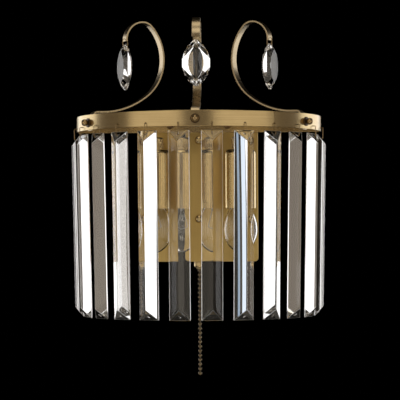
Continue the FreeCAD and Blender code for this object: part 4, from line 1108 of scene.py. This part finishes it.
@dataclass
class Lamps:
    """The two lamps: arm, fluted collar, candle tube, holder and bulb."""

    spacing: float = 92.0 * MM
    axis: float = -78.0 * MM
    tube_top: float = 31.0 * MM
    tube_length: float = 64.2 * MM
    tube: float = 35.0 * MM
    tube_wall: float = 0.8 * MM
    tube_shoulder: float = 4.5 * MM
    nipple: float = 8.1 * MM
    collar: float = 18.4 * MM
    collar_waist: float = 17.4 * MM
    collar_height: float = 12.1 * MM
    collar_neck: float = 1.4 * MM
    collar_neck_width: float = 13.0 * MM
    collar_land: float = 1.0 * MM
    collar_rounding: float = 1.6 * MM
    collar_crown: float = 2.0 * MM
    flutes: int = 24
    flute_depth: float = 0.45 * MM
    flute_top: float = 1.2 * MM
    flute_fade: float = 2.0 * MM
    flute_margin: float = 0.5 * MM
    glass_top: float = -10.0 * MM
    cap: float = 13.6 * MM
    globe: float = 38.4 * MM
    widest: float = 23.3 * MM
    mouth_neck: float = 23.0 * MM
    side_radius: float = 26.5 * MM
    side_sweep: float = 60.0
    glass_wall: float = 1.2 * MM

    def centre(self, side: Side, height: float = 0.0) -> Vector:
        """A point on a lamp's axis."""
        return Vector((side.value * self.spacing / 2, self.axis, height))

    def build(self) -> None:
        """Shows both lamps."""
        for side in Side:
            tube = turned(f"candle_tube_{side.tag}", self.tube_section(), self.centre(side), around=96)
            piece(tube, BRASS_TUBE, "root", [f"candle_tube_{side.tag}"])
            body = f"bulb_{side.tag}"
            piece(self.blown_globe(side), BULB_GLASS, body, [f"bulb_glass_{side.tag}"])
            dress(NICKEL, f"bulb_cap_{side.tag}")
            dress(TUNGSTEN, f"bulb_filament_{side.tag}")
        self.collars()
        dress(PORCELAIN, "lamp_holders")
        dress(BRASS_TURNED, "lamp_arms")
        dress(ZINC, "arm_lock_nuts")
        dress(LEAD_SLEEVE, "lamp_leads")

    def tube_section(self) -> Section:
        """Half section of a candle tube, with a rolled edge at its mouth."""
        outside, inside = self.tube / 2, self.tube / 2 - self.tube_wall
        top, foot, soft = self.tube_top, self.tube_top - self.tube_length, self.tube_shoulder
        inner = soft - self.tube_wall
        edge = self.tube_wall / 2
        return [(self.nipple / 2, top), *arc(outside - soft, top - soft, soft, 90, 0, 10),
                *arc(outside - edge, foot + edge, edge, 0, -180, 6),
                *arc(inside - inner, top - self.tube_wall - inner, inner, 0, 90, 10),
                (self.nipple / 2, top - self.tube_wall)]

    def globe_line(self, inset: float) -> list[tuple[float, float]]:
        """Draws the bulb's half section.

        Args:
            inset: How far the line is drawn in from the bulb's outside.

        Returns:
            Its points, from the top to the tip.
        """
        widest, neck = self.globe / 2, self.mouth_neck / 2
        mouth = self.tube_top - self.tube_length
        equator = mouth - self.widest
        shoulder = ((mouth - equator) ** 2 + (widest - neck) ** 2) / (2 * (widest - neck))
        high = math.degrees(math.asin((mouth - equator) / shoulder))
        offset, sweep = self.side_radius - widest, math.radians(self.side_sweep)
        tip_centre = equator - offset * math.tan(sweep)
        tip_radius = self.side_radius - offset / math.cos(sweep) - inset
        return [(0.0, self.glass_top - inset), (self.cap / 2 - inset, self.glass_top - inset),
                *arc(widest - shoulder, equator, shoulder - inset, high, 0, 14),
                *arc(-offset, equator, self.side_radius - inset, 0, -self.side_sweep, 14)[1:],
                *arc(0.0, tip_centre, tip_radius, -self.side_sweep, -90, 8)[1:]]

    def blown_globe(self, side: Side) -> bpy.types.Mesh:
        """Blows a bulb's glass: its outer skin faces out, and its inner skin the hollow.

        Args:
            side: The lamp that it belongs to.

        Returns:
            The mesh of both skins.
        """
        build = bmesh.new()
        for inset in (0.0, self.glass_wall):
            skin = turned("globe_skin", self.globe_line(inset), self.centre(side), around=96)
            if inset:
                skin.flip_normals()
            build.from_mesh(skin)
            bpy.data.meshes.remove(skin)
        mesh = bpy.data.meshes.new(f"bulb_glass_{side.tag}")
        build.to_mesh(mesh)
        build.free()
        shade(mesh, 35.0)
        return mesh

    def collars(self) -> None:
        """Shows both fluted collars as one piece."""
        press = Grower({"Blank": bpy.types.Object, "Flutes": float, "Depth": float, "Top": float,
                        "Fade": float, "Inner Radius": float, "Place": Vector}, fluted)
        top, foot = self.collar_neck + self.collar_height, self.collar_neck
        rim, waist, neck = self.collar / 2, self.collar_waist / 2, self.collar_neck_width / 2
        middle = top - self.collar_height / 2
        land, soft, steps = self.collar_land, self.collar_rounding, 8
        waisted = [(rim - (rim - waist) * math.sin(math.pi / 2 * step / steps),
                    foot + land + (middle - foot - land) * step / steps)
                   for step in range(steps + 1)]
        section = [(0.0, 0.0), (neck, 0.0), (neck, foot), (rim, foot), *waisted,
                   *arc(rim - soft, top - self.collar_crown, soft, 0, 60, 6),
                   (rim - soft, top), (0.0, top)]
        blank = hidden_source("collar_blank", turned("collar_blank", section, Vector((0, 0, 0)),
                                                     around=self.flutes * 8))
        high = middle + self.flute_top
        collars = [press.grow("collar", BRASS_TURNED, 40.0, Blank=blank, Flutes=float(self.flutes),
                              Depth=self.flute_depth, Top=high, Fade=high - self.flute_fade,
                              Inner_Radius=neck + self.flute_margin,
                              Place=self.centre(side, self.tube_top)) for side in Side]
        piece(joined("socket_collars", collars, 40.0), BRASS_TURNED, "root",
              ["socket_collars"])


@dataclass
class PullSwitch:
    """The switch in the pan's foot, its bell and the bead chain."""

    axis: float = -12.0 * MM
    pan_foot: float = -92.0 * MM
    bell: float = 12.4 * MM
    bell_height: float = 8.6 * MM
    mouth: float = 7.6 * MM
    groove_height: float = 1.3 * MM
    groove_flat: float = 0.2 * MM
    groove_slope: float = 0.2 * MM
    groove_depth: float = 0.35 * MM
    dome: float = 4.0 * MM
    dome_height: float = 4.6 * MM
    dome_sweep: float = 62.0
    lip_rounding: float = 0.6 * MM
    nipple: float = 10.1 * MM
    nipple_drop: float = 2.3 * MM
    bore: float = 4.8 * MM
    chain_drop: float = 127.4 * MM
    bead: float = 4.0 * MM
    pitch: float = 5.02 * MM
    count: int = 26
    wire: float = 1.0 * MM
    bead_collar: float = 0.85 * MM
    bead_collar_rise: float = 0.1 * MM

    def build(self) -> None:
        """Shows the switch, the bell and the chain."""
        dress(BLACK_MOULDING, "switch_body")
        rim, lip, height = self.bell / 2, self.mouth / 2, self.bell_height
        groove, depth, flat = -self.groove_height, self.groove_depth, self.groove_flat
        end = flat + self.groove_slope
        section = [(self.nipple / 2, 0.0), (rim, 0.0), (rim, groove + end),
                   (rim - depth, groove + flat), (rim - depth, groove - flat), (rim, groove - end),
                   *arc(rim - self.dome, -height + self.dome_height, self.dome,
                        0, -self.dome_sweep, 10),
                   *arc(lip - self.lip_rounding, -height + self.lip_rounding, self.lip_rounding,
                        0, -90, 4),
                   (self.bore / 2, -height), (self.bore / 2, -self.nipple_drop),
                   (self.nipple / 2, -self.nipple_drop)]
        place = Vector((0.0, self.axis, self.pan_foot))
        piece(turned("switch_bell", section, place), BRASS_TURNED, "root",
              ["switch_bell"])
        beads = Grower({"Count": int, "Pitch": float, "Bead Radius": float, "Collar Radius": float,
                        "Collar Height": float, "Wire Radius": float, "Place": Vector}, bead_row)
        lowest = self.pan_foot - self.chain_drop + self.bead / 2
        chain = beads.grow("pull_chain", CHAIN_BRASS, 35.0, Count=self.count, Pitch=self.pitch,
                           Bead_Radius=self.bead / 2, Collar_Radius=self.bead_collar,
                           Collar_Height=self.bead - self.bead_collar_rise,
                           Wire_Radius=self.wire / 2,
                           Place=Vector((0.0, self.axis, lowest)))
        piece(chain, CHAIN_BRASS, "chain", ["pull_chain"])


# ------------------------------------------------------------------------------ the studio
@dataclass(frozen=True)
class Softbox:
    """A soft light that faces the sconce.

    Attributes:
        name: The light's name.
        azimuth: Where it stands, in degrees from the viewer's side, positive to the right.
        elevation: Its height in degrees above the sconce.
        distance: How far it stands, in metres.
        width: Its width in metres.
        height: Its height in metres.
        radiance: How bright its face is, where 1 is white.
        colour: The light's colour.
    """

    name: str
    azimuth: float
    elevation: float
    distance: float
    width: float
    height: float
    radiance: float
    colour: Colour = (1.0, 1.0, 1.0)

    def build(self, target: Vector) -> None:
        """Sets the light up.

        Args:
            target: The point that it faces.
        """
        light = bpy.data.lights.new(self.name, "AREA")
        light.shape = "RECTANGLE"
        light.size, light.size_y = self.width, self.height
        light.energy = self.radiance * math.pi * self.width * self.height
        light.color = self.colour
        lamp = bpy.data.objects.new(self.name, light)
        turn, lift = math.radians(self.azimuth), math.radians(self.elevation)
        away = Vector((math.sin(turn) * math.cos(lift), -math.cos(turn) * math.cos(lift),
                       math.sin(lift)))
        lamp.location = target + away * self.distance
        lamp.rotation_euler = (-away).to_track_quat("-Z", "Y").to_euler()
        lamp.visible_camera = False
        bpy.context.scene.collection.objects.link(lamp)


WARM: Colour = (1.0, 0.91, 0.76)
SKY_BLUE: Colour = (0.6, 0.78, 1.0)
PALE_BLUE: Colour = (0.78, 0.88, 1.0)
PALE_CREAM: Colour = (1.0, 0.98, 0.95)
SOFTBOXES = (
    Softbox("back_left", azimuth=-130.6, elevation=1.0, distance=1.45, width=1.148, height=1.1,
            radiance=1.5),
    Softbox("back_right", azimuth=132.95, elevation=1.0, distance=1.45, width=1.228, height=1.1,
            radiance=1.5),
    Softbox("back_right_edge", azimuth=156.08, elevation=1.0, distance=1.56, width=0.008,
            height=1.1, radiance=1.0, colour=PALE_BLUE),
    Softbox("back_right_fringe", azimuth=156.45, elevation=1.0, distance=1.56, width=0.004,
            height=1.1, radiance=0.5, colour=SKY_BLUE),
    Softbox("back_left_edge", azimuth=-106.86, elevation=1.0, distance=1.541, width=0.026,
            height=1.1, radiance=1.0, colour=PALE_CREAM),
    Softbox("front_left", azimuth=-39.2, elevation=0.0, distance=1.5, width=1.45, height=2.0,
            radiance=0.72, colour=WARM),
    Softbox("front_right", azimuth=43.0, elevation=0.0, distance=1.5, width=1.6, height=2.0,
            radiance=0.72, colour=WARM),
    Softbox("front_high", azimuth=0.0, elevation=42.0, distance=1.5, width=0.6, height=0.7,
            radiance=1.5, colour=WARM),
    Softbox("front_low", azimuth=0.0, elevation=-42.0, distance=1.5, width=0.6, height=0.7,
            radiance=1.9, colour=WARM),
    Softbox("above", azimuth=0.0, elevation=78.0, distance=1.6, width=1.2, height=0.8,
            radiance=1.3, colour=WARM),
)


@dataclass
class Studio:
    """Camera, lights, floor and surroundings."""

    target: Vector
    distance: float = 1.9
    front: float = -0.1585
    camera_side: float = 0.059
    camera_height: float = -0.056
    horizon: float = 229.6
    middle_line: float = 195.4
    scale: float = 957.0
    roll: float = 0.28
    frame_side: float = 400.0
    sensor: float = 36.0
    floor_height: float = -1.2
    floor_side: float = 2.4
    surroundings: float = 0.16
    surroundings_colour: Colour = (1.0, 0.84, 0.68)
    dark_behind: float = 0.924
    lit_aside: float = 0.8704
    dark_above: float = 0.45
    lit_level: float = 0.25
    bounces: int = 20
    glossy_bounces: int = 8

    def camera(self) -> None:
        """Stands the camera where the photograph was taken from.

        The scale is in pixels to the metre at the ring's front, and the horizon and the
        middle line are pixels of the square photograph.
        """
        focal = self.scale * self.distance
        data = bpy.data.cameras.new("camera")
        data.sensor_width, data.sensor_fit = self.sensor, "AUTO"
        data.lens = focal / self.frame_side * self.sensor
        data.clip_start, data.clip_end = 0.05, 50.0
        eye = bpy.data.objects.new("camera", data)
        eye.location = (self.camera_side, self.front - self.distance, self.camera_height)
        middle = self.frame_side / 2
        tilt = math.atan((self.horizon - middle) / focal)
        sideways = math.atan(self.camera_side / self.distance) - math.atan(
            (middle - self.middle_line) / focal)
        aim = (Matrix.Rotation(sideways, 4, "Z") @ Matrix.Rotation(math.pi / 2 + tilt, 4, "X")
               @ Matrix.Rotation(math.radians(-self.roll), 4, "Z"))
        eye.rotation_euler = aim.to_euler()
        bpy.context.scene.collection.objects.link(eye)
        bpy.context.scene.camera = eye

    def world(self) -> None:
        """Lights the sides with dim taupe surroundings that the camera doesn't see.

        They fade out between lit_aside and dark_behind, cosines of the angle from straight
        behind the sconce, and between lit_level and dark_above, sines of the lift.
        """
        world = bpy.data.worlds.new("studio")
        bpy.context.scene.world = world
        world.use_nodes = True
        graph = Graph(world.node_tree)
        back = world.node_tree.nodes["Background"]
        way = graph.add("ShaderNodeTexCoord").outputs["Generated"]
        flat = graph.add("ShaderNodeVectorMath", {0: way, 1: (1.0, 1.0, 0.0)},
                         operation="MULTIPLY").outputs[0]
        level = graph.add("ShaderNodeVectorMath", {0: flat}, operation="NORMALIZE").outputs[0]
        behind = graph.add("ShaderNodeSeparateXYZ", {0: level}).outputs["Y"]
        aside = graph.add("ShaderNodeMapRange", {"Value": behind, "From Min": self.dark_behind,
                                                 "From Max": self.lit_aside},
                          interpolation_type="SMOOTHSTEP").outputs[0]
        lift = graph.math("ABSOLUTE", graph.add("ShaderNodeSeparateXYZ", {0: way}).outputs["Z"])
        low = graph.add("ShaderNodeMapRange", {"Value": lift, "From Min": self.dark_above,
                                               "From Max": self.lit_level},
                        interpolation_type="SMOOTHSTEP").outputs[0]
        seen = graph.add("ShaderNodeLightPath").outputs["Is Camera Ray"]
        strength = graph.math("MULTIPLY", graph.math("MULTIPLY", graph.math("MULTIPLY", aside, low),
                                                     self.surroundings),
                              graph.math("SUBTRACT", 1.0, seen))
        graph.tree.links.new(strength, back.inputs["Strength"])
        back.inputs["Color"].default_value = (*self.surroundings_colour, 1.0)

    def floor(self) -> None:
        """Lays a plain pale floor well below the sconce."""
        build = bmesh.new()
        bmesh.ops.create_grid(build, x_segments=1, y_segments=1, size=self.floor_side / 2)
        bmesh.ops.translate(build, verts=build.verts, vec=(0, 0, self.floor_height))
        mesh = bpy.data.meshes.new("floor")
        build.to_mesh(mesh)
        build.free()
        ground = bpy.data.objects.new("floor", mesh)
        bpy.context.scene.collection.objects.link(ground)
        mesh.materials.append(FLOOR_PAINT.material())
        ground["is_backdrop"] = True

    def build(self) -> None:
        """Sets up the whole studio."""
        scene = bpy.context.scene
        scene.view_settings.view_transform = "Standard"
        scene.cycles.max_bounces = self.bounces
        scene.cycles.transmission_bounces = self.bounces
        scene.cycles.glossy_bounces = self.glossy_bounces
        self.camera()
        self.world()
        self.floor()
        for light in SOFTBOXES:
            light.build(self.target)


def main() -> None:
    """Builds the sconce's looks and the studio."""
    logging.basicConfig(level=logging.INFO, format="%(name)s: %(message)s")
    cad_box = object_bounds()
    ring = RingFrame()
    for assembly in (WallPan(), ring, ScrollStraps(ring), Curtain(ring), Drops(), Lamps(),
                     PullSwitch()):
        LOG.info("building %s", type(assembly).__name__)
        assembly.build()
    Studio(target=(cad_box[0] + cad_box[1]) / 2).build()


if __name__ == "__main__":
    main()
